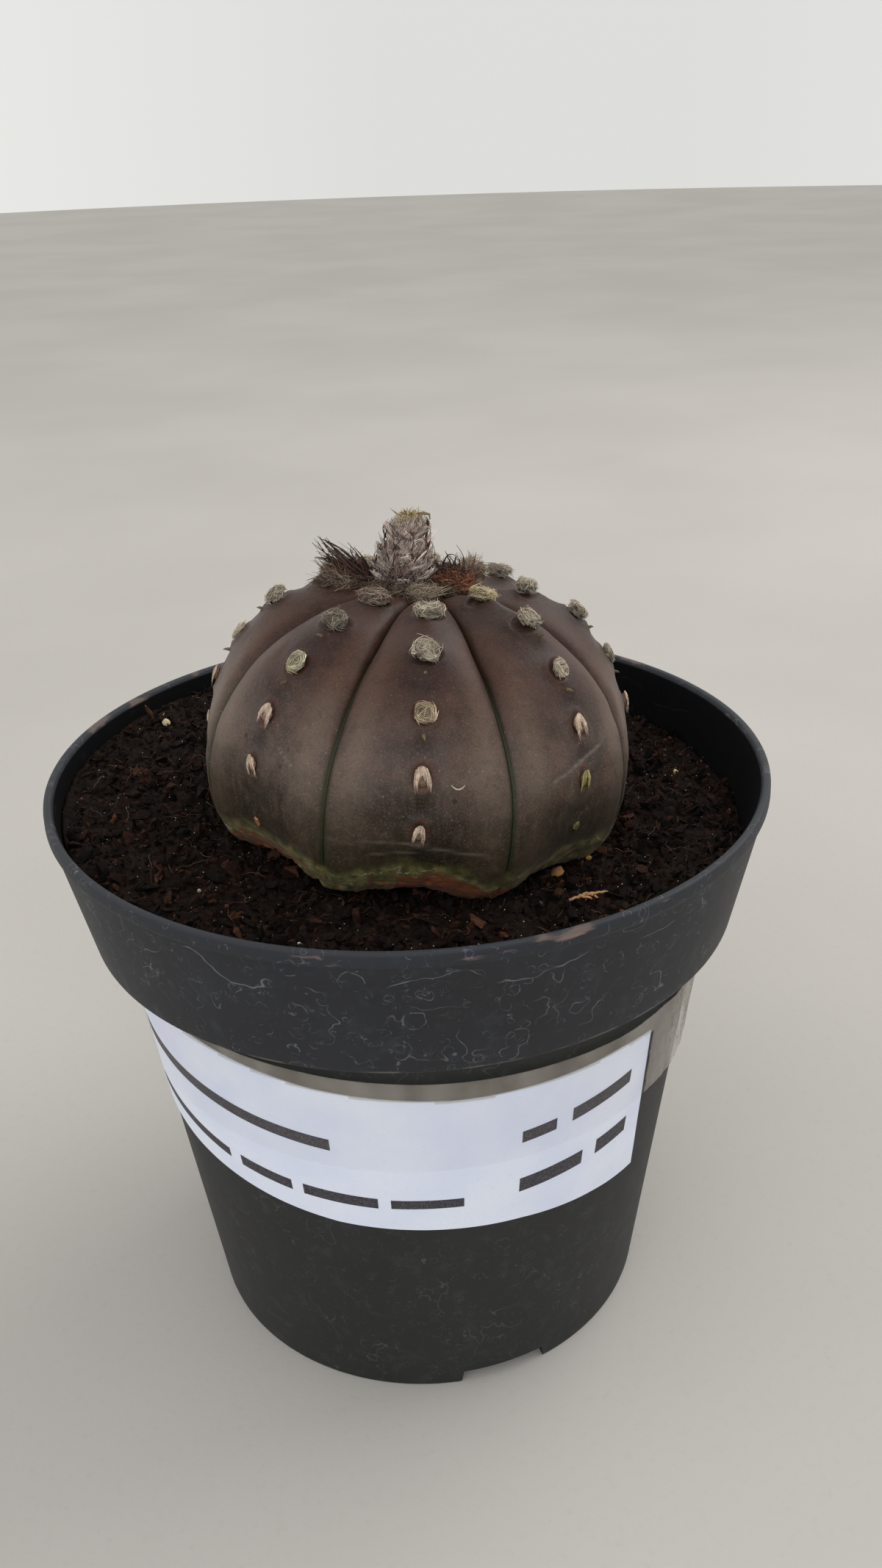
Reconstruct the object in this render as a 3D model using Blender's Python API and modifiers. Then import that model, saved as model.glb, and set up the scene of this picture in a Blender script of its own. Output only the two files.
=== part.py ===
"""Potted star cactus: an eight-ribbed globe cactus with woolly areoles, a woolly fruit and
dried flowers, in soil, in a tapered plastic pot with a taped paper label.

Metres, +Z up. The origin is on the pot's axis, on the surface that the pot stands on.
"""

import bmesh
import bpy
from math import atan2, cos, exp, hypot, pi, radians, sin, sqrt
from mathutils import Matrix, Vector

MM = 0.001
GAP = 0.3 * MM  # clearance between pieces that touch

# Pot
POT_HEIGHT = 129.3 * MM
RIM_RADIUS = 75.0 * MM
WALL = 1.3 * MM
LIP_HEIGHT = 3.0 * MM
LIP_PROUD = 0.7 * MM
BAND_HEIGHT = 28.8 * MM
BAND_FOOT_RADIUS = 69.1 * MM
BODY_TOP_RADIUS = 63.3 * MM
BASE_RADIUS = 50.9 * MM
FOOT_WIDTH = 3.6 * MM
FLOOR_UNDERSIDE = 3.9 * MM
BAND_FOOT = POT_HEIGHT - BAND_HEIGHT
BODY_TAPER = (BODY_TOP_RADIUS - BASE_RADIUS) / BAND_FOOT
DRAIN_SLOTS = 3
FIRST_SLOT_ANGLE = -72.5  # degrees from +X
SLOT_WIDTH = 19.5 * MM
SLOT_HEIGHT = 3.6 * MM
DRAIN_HOLES = 6
DRAIN_HOLE_RADIUS = 4.0 * MM
DRAIN_CIRCLE_RADIUS = 31.0 * MM

# Stem: every reach is a distance from the stem's centre, at PROFILE_STEP degrees from its top
STEM_CENTRE = Vector((2.4, -4.2, 136.3)) * MM
STEM_LEAN = (radians(-3.7), radians(5.7), 0.0)
RIBS = 8
FRONT_RIB_ANGLE = radians(-91.3)
RIB_ANGLE = 2 * pi / RIBS
PROFILE_STEP = 22.5
CREST_REACH = [r * MM for r in (29.9, 33.6, 39.5, 41.8, 42.2, 40.0, 31.5, 27.0, 25.3)]
SHOULDER_REACH = [r * MM for r in (29.9, 32.8, 37.2, 42.0, 44.8, 44.6, 34.6, 27.6, 25.3)]
GROOVE_DEPTH = [d * MM for d in (0.0, 1.7, 2.6, 2.2, 1.7, 1.5, 0.8, 0.2, 0.0)]
RIDGE_SHARPNESS = (0.0, 0.9, 0.9, 0.5, 0.1, 0.0, 0.0, 0.0, 0.0)
GROOVE_WIDTH = 0.14  # as a share of half a rib
STEM_SEGMENTS = 10 * RIBS
STEM_RINGS = 28

# Areoles: degrees from the stem's top, on alternate ribs
EVEN_RIB_AREOLES = (30.0, 47.5, 63.5, 80.0, 95.0, 106.5)
ODD_RIB_AREOLES = (24.0, 40.0, 56.0, 72.0, 86.5, 100.0)
REAR_RIBS = (3, 4, 5)  # these carry five areoles each
AREOLE_ANGLES = (24.0, 50.0, 64.0, 80.0, 95.0, 107.0)
AREOLE_WIDTHS = [w * MM for w in (6.2, 5.6, 4.2, 3.1, 2.7, 1.4)]
AREOLE_LENGTHS = [h * MM for h in (4.4, 4.6, 4.4, 4.9, 4.2, 2.0)]
AREOLE_HEIGHTS = [t * MM for t in (3.2, 2.8, 2.2, 1.5, 1.2, 0.8)]

# Soil
SOIL_MIDDLE = 120.2 * MM
SOIL_FALL = 0.068  # falls towards +X
SOIL_RISE = 0.02  # rises towards +Y
SOIL_DIP = 2.2 * MM  # sinks around the stem
SOIL_DIP_REACH = 30
SOIL_DIP_WIDTH = 14
SOIL_LUMP = 0.5 * MM

# Label and tape: angles in degrees from +X, heights at their left and right ends
LABEL_ANGLES = (-166.0, -41.0)
LABEL_TOP = (95.0 * MM, 86.9 * MM)
LABEL_FOOT = (60.6 * MM, 48.5 * MM)
PAPER = 0.2 * MM
TAPE_ANGLES = (-168.0, 20.0)
TAPE_TOP = (95.6 * MM, 90.6 * MM)
TAPE_FOOT = (71.5 * MM, 67.4 * MM)
TAPE = 0.15 * MM

# Crown
WOOL_TOP = 168.2 * MM
FRUIT_FOOT = Vector((1.0, -2.2, 168.6)) * MM
FRUIT_HEIGHT = 13.2 * MM
WOOL_HALVES = (8.6 * MM, 7.6 * MM, 3.2 * MM)
WOOL_PLACE = (4.4 * MM, -2.4 * MM)
FRUIT_RADII = (  # radius in millimetres at each share of its height
    (0.0, 0.0), (4.2, 0.0), (5.2, 0.08), (5.6, 0.22), (5.4, 0.42),
    (4.8, 0.64), (4.2, 0.84), (3.2, 0.95), (0.0, 1.0),
)
FRUIT_LEAN = 1.0 * MM
LEFT_FLOWER_PATH = (
    Vector((-6.9, -0.6, 172.0)) * MM, Vector((-11.8, -0.6, 175.4)) * MM, Vector((-16.4, -0.6, 178.6)) * MM,
)
LEFT_FLOWER_RADII = [r * MM for r in (2.3, 2.3, 0.9)]
RIGHT_FLOWER_CENTRE = Vector((12.4, -1.5, 170.4)) * MM
RIGHT_FLOWER_HALVES = Vector((4.9, 3.6, 2.4)) * MM


def collection(name):
    made = bpy.data.collections.new(name)
    bpy.context.scene.collection.children.link(made)
    return made


def material(name, colour, roughness):
    made = bpy.data.materials.new(name)
    made.use_nodes = True
    shader = made.node_tree.nodes["Principled BSDF"]
    shader.inputs["Base Color"].default_value = (*colour, 1.0)
    shader.inputs["Roughness"].default_value = roughness
    shader.inputs["Metallic"].default_value = 0.0
    return made


def piece(name, mesh, look, home):
    made = bpy.data.objects.new(name, mesh)
    mesh.materials.append(look)
    mesh.shade_smooth()
    home.objects.link(made)
    return made


def cutter(name, mesh, home):
    made = bpy.data.objects.new(name, mesh)
    made.hide_render = True
    made.display_type = "WIRE"
    home.objects.link(made)
    return made


def cut(target, tool):
    modifier = target.modifiers.new(f"cut by {tool.name}", "BOOLEAN")
    modifier.operation = "DIFFERENCE"
    modifier.solver = "EXACT"
    modifier.object = tool


def mesh_of(shape, name):
    made = bpy.data.meshes.new(name)
    shape.to_mesh(made)
    shape.free()
    return made


def turned(name, profile, segments, look, home):
    """A profile of (radius, height) points turned about Z; it starts and ends on the axis."""
    mesh = bpy.data.meshes.new(name)
    points = [(radius, 0.0, height) for radius, height in profile]
    mesh.from_pydata(points, [(i, i + 1) for i in range(len(points) - 1)], [])
    made = piece(name, mesh, look, home)
    screw = made.modifiers.new("turn", "SCREW")
    screw.axis = "Z"
    screw.steps = segments
    screw.render_steps = segments
    screw.use_merge_vertices = True
    screw.merge_threshold = 0.00001
    screw.use_smooth_shade = True
    return made


def as_mesh(made):
    """The object with its modifiers applied."""
    bpy.context.view_layer.update()
    evaluated = made.evaluated_get(bpy.context.evaluated_depsgraph_get())
    mesh = bpy.data.meshes.new_from_object(evaluated)
    made.modifiers.clear()
    made.data = mesh
    return made


def between(values, place):
    """Linear reading of a list at a place counted in its steps."""
    place = min(max(place, 0.0), len(values) - 1.0)
    low = min(int(place), len(values) - 2)
    share = place - low
    return values[low] * (1 - share) + values[low + 1] * share


def smooth_between(values, place):
    """Catmull-Rom reading of a list at a place counted in its steps."""
    place = min(max(place, 0.0), len(values) - 1.0)
    low = min(int(place), len(values) - 2)
    t = place - low
    before = values[max(low - 1, 0)] if low else values[1]
    after = values[min(low + 2, len(values) - 1)]
    a, b = values[low], values[low + 1]
    bend = 2 * before - 5 * a + 4 * b - after
    return a + 0.5 * t * (b - before + t * (bend + t * (3 * (a - b) + after - before)))


# Pot

def inner_radius(height):
    """The pot's inside radius at a height, without the ledge under the band."""
    if height > BAND_FOOT + WALL:
        share = (height - BAND_FOOT) / BAND_HEIGHT
        return BAND_FOOT_RADIUS + share * (RIM_RADIUS - LIP_PROUD - BAND_FOOT_RADIUS) - WALL
    return BASE_RADIUS + BODY_TAPER * height - WALL


def make_pot(look, home, cutters):
    band_top = RIM_RADIUS - LIP_PROUD
    lip_foot = POT_HEIGHT - LIP_HEIGHT
    floor = FLOOR_UNDERSIDE + WALL
    soft = 0.4 * MM
    profile = [
        (0.0, floor),
        (inner_radius(floor) - soft, floor),
        (inner_radius(floor + soft), floor + soft),
        (inner_radius(BAND_FOOT * 0.5), BAND_FOOT * 0.5),
        (inner_radius(BAND_FOOT - soft), BAND_FOOT - soft),
        (inner_radius(BAND_FOOT) + soft, BAND_FOOT + WALL * 0.7),
        (BAND_FOOT_RADIUS - WALL - soft, BAND_FOOT + WALL),
        (inner_radius(BAND_FOOT + WALL + soft), BAND_FOOT + WALL + soft),
        (band_top - WALL, POT_HEIGHT - 2 * soft),
        (band_top - WALL + soft, POT_HEIGHT),
        (RIM_RADIUS - 1.5 * soft, POT_HEIGHT),
        (RIM_RADIUS, POT_HEIGHT - 1.5 * soft),
        (RIM_RADIUS - 0.2 * soft, lip_foot + soft),
        (band_top, lip_foot),
        (band_top - 0.45 * (band_top - BAND_FOOT_RADIUS), BAND_FOOT + 0.55 * BAND_HEIGHT),
        (BAND_FOOT_RADIUS, BAND_FOOT + soft),
        (BAND_FOOT_RADIUS - soft, BAND_FOOT),
        (BODY_TOP_RADIUS + soft, BAND_FOOT - 0.5 * soft),
        (BODY_TOP_RADIUS - BODY_TAPER * 2 * soft, BAND_FOOT - 2 * soft),
        (BASE_RADIUS + BODY_TAPER * BAND_FOOT * 0.5, BAND_FOOT * 0.5),
        (BASE_RADIUS + BODY_TAPER * soft, soft),
        (BASE_RADIUS - soft, 0.0),
        (BASE_RADIUS - FOOT_WIDTH, 0.0),
        (BASE_RADIUS - FOOT_WIDTH - soft, FLOOR_UNDERSIDE),
        (0.0, FLOOR_UNDERSIDE),
    ]
    pot = turned("pot", profile, 64, look, home)
    for number in range(DRAIN_SLOTS):
        angle = radians(FIRST_SLOT_ANGLE + 360.0 * number / DRAIN_SLOTS)
        shape = bmesh.new()
        bmesh.ops.create_cube(shape, size=1.0)
        bmesh.ops.scale(shape, vec=(4 * FOOT_WIDTH, SLOT_WIDTH, 2 * SLOT_HEIGHT), verts=shape.verts)
        slot = cutter(f"slot_cutter_{number}", mesh_of(shape, "slot"), cutters)
        slot.location = (BASE_RADIUS * cos(angle), BASE_RADIUS * sin(angle), 0.0)
        slot.rotation_euler = (0.0, 0.0, angle)
        cut(pot, slot)
    for number in range(DRAIN_HOLES):
        angle = 2 * pi * number / DRAIN_HOLES
        shape = bmesh.new()
        bmesh.ops.create_cone(
            shape, cap_ends=True, segments=20, radius1=DRAIN_HOLE_RADIUS, radius2=DRAIN_HOLE_RADIUS,
            depth=4 * WALL,
        )
        hole = cutter(f"drain_cutter_{number}", mesh_of(shape, "drain"), cutters)
        hole.location = (
            DRAIN_CIRCLE_RADIUS * cos(angle), DRAIN_CIRCLE_RADIUS * sin(angle), FLOOR_UNDERSIDE + WALL / 2,
        )
        cut(pot, hole)
    return pot


# Stem

def stem_reach(from_top, angle):
    """Distance from the stem's centre to its skin, at an angle from its top and a turn about its axis."""
    place = from_top * 180 / pi / PROFILE_STEP
    crest = smooth_between(CREST_REACH, place)
    shoulder = smooth_between(SHOULDER_REACH, place)
    turn = (angle - FRONT_RIB_ANGLE) / RIB_ANGLE
    across = 2 * abs(turn - round(turn))
    soft = 0.12
    ridge = (sqrt(across * across + soft * soft) - soft) / (sqrt(1 + soft * soft) - soft)
    sharpness = between(RIDGE_SHARPNESS, place)
    side = sharpness * ridge + (1 - sharpness) * across * across
    groove = exp((across - 1) / GROOVE_WIDTH)
    return crest + (shoulder - crest) * side - between(GROOVE_DEPTH, place) * groove


def stem_point(from_top, angle):
    """A point of the skin, from the stem's centre."""
    reach = stem_reach(from_top, angle)
    out = reach * sin(from_top)
    return Vector((out * cos(angle), out * sin(angle), reach * cos(from_top)))


def stem_normal(from_top, angle):
    step = 0.03
    down = stem_point(from_top + step, angle) - stem_point(from_top - step, angle)
    along = stem_point(from_top, angle + step) - stem_point(from_top, angle - step)
    return down.cross(along).normalized()


def stem_mesh(growth=1.0):
    """A sphere whose rings and segments follow the ribs, with more segments near each groove."""
    shape = bmesh.new()
    bmesh.ops.create_uvsphere(shape, u_segments=STEM_SEGMENTS, v_segments=STEM_RINGS, radius=1.0)
    to_front_rib = Matrix.Rotation(FRONT_RIB_ANGLE, 3, "Z")
    bmesh.ops.rotate(shape, verts=shape.verts, cent=(0, 0, 0), matrix=to_front_rib)
    for vertex in shape.verts:
        flat = hypot(vertex.co.x, vertex.co.y)
        from_top = atan2(flat, vertex.co.z)
        angle = atan2(vertex.co.y, vertex.co.x)
        turn = (angle - FRONT_RIB_ANGLE) / RIB_ANGLE
        across = 2 * (turn - round(turn))
        crowded = abs(across) * (1.35 - 0.35 * abs(across))
        crowded = crowded if across > 0 else -crowded
        angle = FRONT_RIB_ANGLE + (round(turn) + crowded / 2) * RIB_ANGLE
        vertex.co = stem_point(from_top, angle) * growth
    return mesh_of(shape, "stem")


def areole_size(degrees):
    """Half width, half length and half height of the areole at an angle from the stem's top."""
    upper = sum(1 for angle in AREOLE_ANGLES[1:-1] if degrees > angle)
    low, high = AREOLE_ANGLES[upper], AREOLE_ANGLES[upper + 1]
    place = upper + min(max((degrees - low) / (high - low), 0.0), 1.0)
    return [between(sizes, place) / 2 for sizes in (AREOLE_WIDTHS, AREOLE_LENGTHS, AREOLE_HEIGHTS)]


def make_areoles(look, home, plant):
    for rib in range(RIBS):
        angle = FRONT_RIB_ANGLE + rib * RIB_ANGLE
        places = ODD_RIB_AREOLES if rib % 2 else EVEN_RIB_AREOLES
        if rib in REAR_RIBS:
            places = places[:-1]
        for number, degrees in enumerate(places):
            from_top = radians(degrees)
            half_width, half_length, half_height = areole_size(degrees)
            shape = bmesh.new()
            bmesh.ops.create_icosphere(shape, subdivisions=2, radius=1.0)
            bmesh.ops.scale(shape, vec=(half_width, half_length, half_height), verts=shape.verts)
            made = piece(f"areole_{rib}_{number}", mesh_of(shape, "areole"), look, home)
            out = stem_normal(from_top, angle)
            across = Vector((-sin(angle), cos(angle), 0.0))
            made.parent = plant
            made.location = stem_point(from_top, angle) + out * (GAP + half_height)
            made.rotation_euler = Matrix((across, out.cross(across), out)).transposed().to_euler()


# Crown

def make_crown_wool(look, home):
    shape = bmesh.new()
    bmesh.ops.create_uvsphere(shape, u_segments=24, v_segments=8, radius=1.0)
    for vertex in shape.verts:
        turn = atan2(vertex.co.y, vertex.co.x)
        lobes = 1.0 + 0.10 * sin(RIBS * turn) + 0.05 * sin(3 * turn + 1.0)
        wide, deep, high = WOOL_HALVES
        vertex.co = (vertex.co.x * lobes * wide, vertex.co.y * lobes * deep, vertex.co.z * high)
    wool = piece("crown_wool", mesh_of(shape, "wool"), look, home)
    wool.location = (*WOOL_PLACE, WOOL_TOP - WOOL_HALVES[2])
    return wool


def make_fruit(look, home):
    profile = [(radius * MM, share * FRUIT_HEIGHT) for radius, share in FRUIT_RADII]
    fruit = as_mesh(turned("woolly_fruit", profile, 28, look, home))
    for vertex in fruit.data.vertices:
        share = vertex.co.z / FRUIT_HEIGHT
        turn = atan2(vertex.co.y, vertex.co.x)
        swell = 1.0 + 0.05 * sin(5 * turn + 9 * share) * sin(pi * share)
        vertex.co = (vertex.co.x * swell + FRUIT_LEAN * share, vertex.co.y * swell, vertex.co.z)
    fruit.location = FRUIT_FOOT
    return fruit


def make_left_flower(look, home):
    curve = bpy.data.curves.new("left_flower_path", "CURVE")
    curve.dimensions = "3D"
    curve.bevel_depth = 1.0
    curve.bevel_resolution = 3
    curve.resolution_u = 6
    curve.use_fill_caps = True
    spline = curve.splines.new("NURBS")
    spline.points.add(len(LEFT_FLOWER_PATH) - 1)
    spline.order_u = 3
    spline.use_endpoint_u = True
    for point, place, radius in zip(spline.points, LEFT_FLOWER_PATH, LEFT_FLOWER_RADII):
        point.co = (*place, 1.0)
        point.radius = radius
    guide = cutter("left_flower_guide", curve, home)
    bpy.context.view_layer.update()
    mesh = bpy.data.meshes.new_from_object(guide.evaluated_get(bpy.context.evaluated_depsgraph_get()))
    shape = bmesh.new()
    shape.from_mesh(mesh)
    bmesh.ops.remove_doubles(shape, verts=shape.verts, dist=0.00001)
    bpy.data.objects.remove(guide)
    return piece("dried_flower_left", mesh_of(shape, "left_flower"), look, home)


def make_right_flower(look, home):
    shape = bmesh.new()
    bmesh.ops.create_uvsphere(shape, u_segments=20, v_segments=10, radius=1.0)
    for vertex in shape.verts:
        ripple = 1.0 + 0.06 * sin(9 * vertex.co.x + 5 * vertex.co.y)
        vertex.co = Vector([c * h * ripple for c, h in zip(vertex.co, RIGHT_FLOWER_HALVES)])
    flower = piece("dried_flower_right", mesh_of(shape, "right_flower"), look, home)
    flower.location = RIGHT_FLOWER_CENTRE
    return flower


# Soil

def soil_height(x, y):
    from_stem = hypot(x - STEM_CENTRE.x, y - STEM_CENTRE.y) / MM
    dip = SOIL_DIP * exp(-(((from_stem - SOIL_DIP_REACH) / SOIL_DIP_WIDTH) ** 2))
    lumps = SOIL_LUMP * (sin(x / MM * 0.41 + 1.3) * sin(y / MM * 0.37) + 0.6 * sin((x + y) / MM * 0.83))
    return SOIL_MIDDLE - SOIL_FALL * x + SOIL_RISE * y - dip + lumps


def make_soil(look, home):
    """A plug that fills the pot: its sides follow the wall, and its top is uneven and tilted."""
    floor = FLOOR_UNDERSIDE + WALL + GAP
    ledge = BAND_FOOT + WALL + 2 * GAP
    rings = 9
    top = 118.0 * MM
    edge = inner_radius(ledge + MM) - GAP
    profile = [(edge * number / rings, top) for number in range(rings + 1)]
    profile += [
        (inner_radius(ledge + MM) - GAP, ledge + MM),
        (inner_radius(ledge + MM) - GAP - MM, ledge),
        (inner_radius(BAND_FOOT) - GAP, ledge),
        (inner_radius(BAND_FOOT - MM) - GAP, BAND_FOOT - MM),
        (inner_radius(floor + MM) - GAP, floor + MM),
        (inner_radius(floor) - 1.5 * MM, floor),
        (0.0, floor),
    ]
    soil = as_mesh(turned("soil", profile, 60, look, home))
    for vertex in soil.data.vertices:
        x, y, z = vertex.co
        if z > top - 0.1 * MM:
            height = soil_height(x, y)
            reach = (inner_radius(height) - GAP - 0.1 * MM) / edge
            x, y = x * reach, y * reach
            vertex.co = (x, y, soil_height(x, y))
    return soil


# Label and tape

def wall_patch(name, angles, tops, feet, offset, thickness, columns, look, home):
    """A thin sheet that follows the pot's tapered body."""
    shape = bmesh.new()
    rows = 4
    bmesh.ops.create_grid(shape, x_segments=columns, y_segments=rows, size=0.5)
    for vertex in shape.verts:
        along = vertex.co.x + 0.5
        up = vertex.co.y + 0.5
        angle = radians(angles[0] + along * (angles[1] - angles[0]))
        foot = feet[0] + along * (feet[1] - feet[0])
        top = tops[0] + along * (tops[1] - tops[0])
        height = foot + up * (top - foot)
        radius = BASE_RADIUS + BODY_TAPER * height + offset
        vertex.co = (radius * cos(angle), radius * sin(angle), height)
    made = piece(name, mesh_of(shape, name), look, home)
    solid = made.modifiers.new("thickness", "SOLIDIFY")
    solid.thickness = thickness
    solid.offset = 1.0
    return made


def build():
    for old in list(bpy.data.objects):
        bpy.data.objects.remove(old)
    home = collection("potted_star_cactus")
    cutters = collection("cutters")
    plastic = material("pot_plastic", (0.045, 0.048, 0.050), 0.55)
    earth = material("soil_peat", (0.022, 0.015, 0.012), 0.95)
    skin = material("stem_skin", (0.120, 0.092, 0.082), 0.55)
    wool = material("areole_wool", (0.420, 0.380, 0.290), 0.95)
    fruit_wool = material("fruit_wool", (0.260, 0.220, 0.215), 0.95)
    dry_dark = material("dried_flower_dark", (0.060, 0.042, 0.040), 0.9)
    dry_rust = material("dried_flower_rust", (0.150, 0.050, 0.032), 0.9)
    paper = material("label_paper", (0.720, 0.720, 0.700), 0.7)
    film = material("tape_film", (0.420, 0.400, 0.350), 0.25)

    plant = bpy.data.objects.new("plant_axis", None)
    plant.location = STEM_CENTRE
    plant.rotation_euler = STEM_LEAN
    home.objects.link(plant)

    make_pot(plastic, home, cutters)
    stem = piece("cactus_body", stem_mesh(), skin, home)
    stem.parent = plant
    bed = cutter("stem_clearance", stem_mesh(1.013), cutters)
    bed.parent = plant
    make_areoles(wool, home, plant)

    crown = [make_crown_wool(fruit_wool, home), make_fruit(fruit_wool, home)]
    crown += [make_left_flower(dry_dark, home), make_right_flower(dry_rust, home)]
    for seated in [make_soil(earth, home), *crown]:
        cut(seated, bed)

    wall_patch("paper_label", LABEL_ANGLES, LABEL_TOP, LABEL_FOOT, GAP, PAPER, 30, paper, home)
    tape_offset = 2 * GAP + PAPER
    wall_patch("clear_tape", TAPE_ANGLES, TAPE_TOP, TAPE_FOOT, tape_offset, TAPE, 44, film, home)


build()
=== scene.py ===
"""Looks of the potted star cactus: its fine shapes and its materials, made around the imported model.

Lengths are in millimetres until piece() makes a mesh of them. +Z is up, and the origin is on the pot's axis,
on the surface that the pot stands on. Angles around the pot or the stem are counted from +X.
"""

from math import cos, pi, radians, sin, tau

import bmesh
import bpy
import numpy as np
from mathutils import Euler, Matrix, Vector


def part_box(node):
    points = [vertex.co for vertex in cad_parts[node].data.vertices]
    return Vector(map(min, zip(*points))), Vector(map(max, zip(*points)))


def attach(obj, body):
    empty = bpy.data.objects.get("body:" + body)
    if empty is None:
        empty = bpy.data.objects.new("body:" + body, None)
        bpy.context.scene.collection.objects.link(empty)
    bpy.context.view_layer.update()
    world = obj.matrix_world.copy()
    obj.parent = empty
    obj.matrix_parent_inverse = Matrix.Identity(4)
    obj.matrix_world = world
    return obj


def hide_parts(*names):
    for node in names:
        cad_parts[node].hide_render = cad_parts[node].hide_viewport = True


MM = 0.001

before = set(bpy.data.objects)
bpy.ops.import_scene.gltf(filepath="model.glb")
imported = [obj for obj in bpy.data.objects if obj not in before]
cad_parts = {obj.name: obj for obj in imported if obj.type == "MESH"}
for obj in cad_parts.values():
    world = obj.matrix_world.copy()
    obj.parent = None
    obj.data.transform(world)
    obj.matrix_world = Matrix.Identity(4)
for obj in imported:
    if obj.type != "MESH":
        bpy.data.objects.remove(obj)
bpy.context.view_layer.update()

# Pot, from the frame's box and its own driving sizes
pot_low, pot_high = (np.array(corner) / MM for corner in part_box("pot"))
POT_HEIGHT = pot_high[2]
RIM_RADIUS = (pot_high[0] - pot_low[0]) / 2
WALL = 1.3
LIP_HEIGHT = 3.0
LIP_PROUD = 0.7
BAND_HEIGHT = 28.8
BAND_FOOT = POT_HEIGHT - BAND_HEIGHT
BAND_FOOT_RADIUS = 69.1
BODY_TOP_RADIUS = 63.3
BASE_RADIUS = 50.9
FOOT_WIDTH = 3.6
FLOOR_UNDERSIDE = 3.9
BODY_TAPER = (BODY_TOP_RADIUS - BASE_RADIUS) / BAND_FOOT
DRAIN_SLOTS = 3
FIRST_SLOT_ANGLE = radians(-72.5)
SLOT_WIDTH = 19.5
SLOT_HEIGHT = 3.6
DRAIN_HOLES = 6
DRAIN_HOLE_RADIUS = 4.0
DRAIN_CIRCLE_RADIUS = 31.0

# Stem: how far its skin is from its centre, every PROFILE_STEP degrees from its top, on the crests and beside
# the grooves; then the groove's extra depth there, and how sharp the ribs are
STEM_CENTRE = np.array((2.4, -4.2, 136.3))
STEM_TURN = np.array(Euler((radians(-3.7), radians(5.7), 0.0)).to_matrix())
RIBS = 8
RIB_ANGLE = tau / RIBS
FRONT_RIB_ANGLE = radians(-91.3)
PROFILE_STEP = 22.5
CREST_REACH = (29.9, 33.6, 39.5, 41.8, 42.2, 40.0, 31.5, 27.0, 25.3)
SHOULDER_REACH = (29.9, 32.8, 37.2, 42.0, 44.8, 44.6, 34.6, 27.6, 25.3)
GROOVE_DEPTH = (0.0, 1.7, 2.6, 2.2, 1.7, 1.5, 0.8, 0.2, 0.0)
RIDGE_SHARPNESS = (0.0, 0.9, 0.9, 0.5, 0.1, 0.0, 0.0, 0.0, 0.0)
# How many degrees each rib and groove is turned from even spacing, round from the front rib: near the crown,
# and low down. The change is spread over DRIFT_SPAN degrees from the top.
DRIFT_HIGH = (-1.0, -3.5, 0.0, 0.5, 3.0, 1.5, 0, 0, 0, 0, 0, 0, 0, 1.5, 4.5, 1.0)
DRIFT_LOW = (0.0, 0.5, 1.0, 0.5, 0, 0, 0, 0, 0, 0, 0, 0, 0, -1.0, -2.5, -1.0)
DRIFT_SPAN = (38.0, 92.0)
RIB_RISES = (0.0, 1.3, 0.4, 0.0, 0.3, 0.0, 0.0, -0.7)  # each crest's extra reach near the crown

# Areoles: each rib's first one in degrees from the stem's top, the spacing below it, and how many there are
RIB_PADS = (
    (31.5, 17.0, 6), (24.0, 16.5, 6), (32.0, 16.0, 6), (35.0, 14.5, 5),
    (31.0, 16.5, 5), (30.0, 15.5, 5), (32.0, 15.5, 6), (27.0, 16.0, 6),
)
PAD_CROWDING = 0.35  # how fast the spacing closes up down a rib
LOW_PADS = {(7, 5): 102.0}  # the one that sits further down than its rib's spacing gives
AREOLE_WIDTHS = (5.7, 5.4, 4.2, 3.3, 2.6, 1.3)
AREOLE_LENGTHS = (4.0, 4.3, 4.1, 4.6, 4.2, 1.9)
AREOLE_HEIGHTS = (2.7, 2.4, 1.9, 1.4, 1.1, 0.7)

# Soil
SOIL_MIDDLE = 120.2
SOIL_FALL = 0.068
SOIL_RISE = 0.02
SOIL_DIP = 2.2
SOIL_DIP_REACH = 30.0
SOIL_DIP_WIDTH = 14.0
SOIL_GAP = 0.3

# Label and tape: (angle in degrees, height) along their edges
LABEL_TOP = ((-166.0, 95.0), (-133.0, 92.9), (-109.0, 90.2), (-85.0, 88.1), (-51.0, 88.0), (-42.3, 86.8))
LABEL_FOOT = ((-166.0, 60.6), (-136.0, 57.0), (-108.0, 53.5), (-71.0, 51.4), (-40.2, 48.3))
TAPE_TOP = ((-168.0, 96.4), (-111.0, 94.6), (-90.0, 93.3), (-48.0, 91.9), (20.0, 90.6))
TAPE_FOOT = ((-168.0, 71.5), (-90.0, 70.0), (-40.0, 69.6), (20.0, 67.4))
LABEL_OFFSET = 0.3
PAPER = 0.2
TAPE_OFFSET = 0.8
TAPE = 0.15


# Small tools

def rgb(red, green, blue):
    """Linear colour from 8-bit sRGB."""
    share = np.array((red, green, blue)) / 255
    return np.where(share > 0.04045, ((share + 0.055) / 1.055) ** 2.4, share / 12.92)


def hashed(cells):
    """A repeatable number from 0 to 1 for each cell of whole numbers."""
    mixed = (cells[..., 0] * 73856093) ^ (cells[..., 1] * 19349663) ^ (cells[..., 2] * 83492791)
    mixed = ((mixed ^ (mixed >> 13)) & 0x7FFFFFFF) * 1274126177
    mixed = mixed ^ (mixed >> 16)
    return (mixed & 0xFFFFFF) / 0xFFFFFF


def noise(points, size, seed=0):
    """Smooth noise from -1 to 1 at points, with swells of about this size."""
    scaled = points / size + seed * 17.31
    cells = np.floor(scaled).astype(np.int64)
    share = scaled - cells
    share = share**3 * (share * (share * 6 - 15) + 10)
    total = 0.0
    for corner in np.ndindex(2, 2, 2):
        weight = np.prod(np.where(corner, share, 1 - share), axis=-1)
        total = total + weight * hashed(cells + np.array(corner))
    return 2 * total - 1


def ridged(points, size, seed=0):
    """Noise from 0 to 1 with round tops and sharp valleys, as crumbs have."""
    return 1 - (1 - np.abs(noise(points, size, seed))) ** 2


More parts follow.
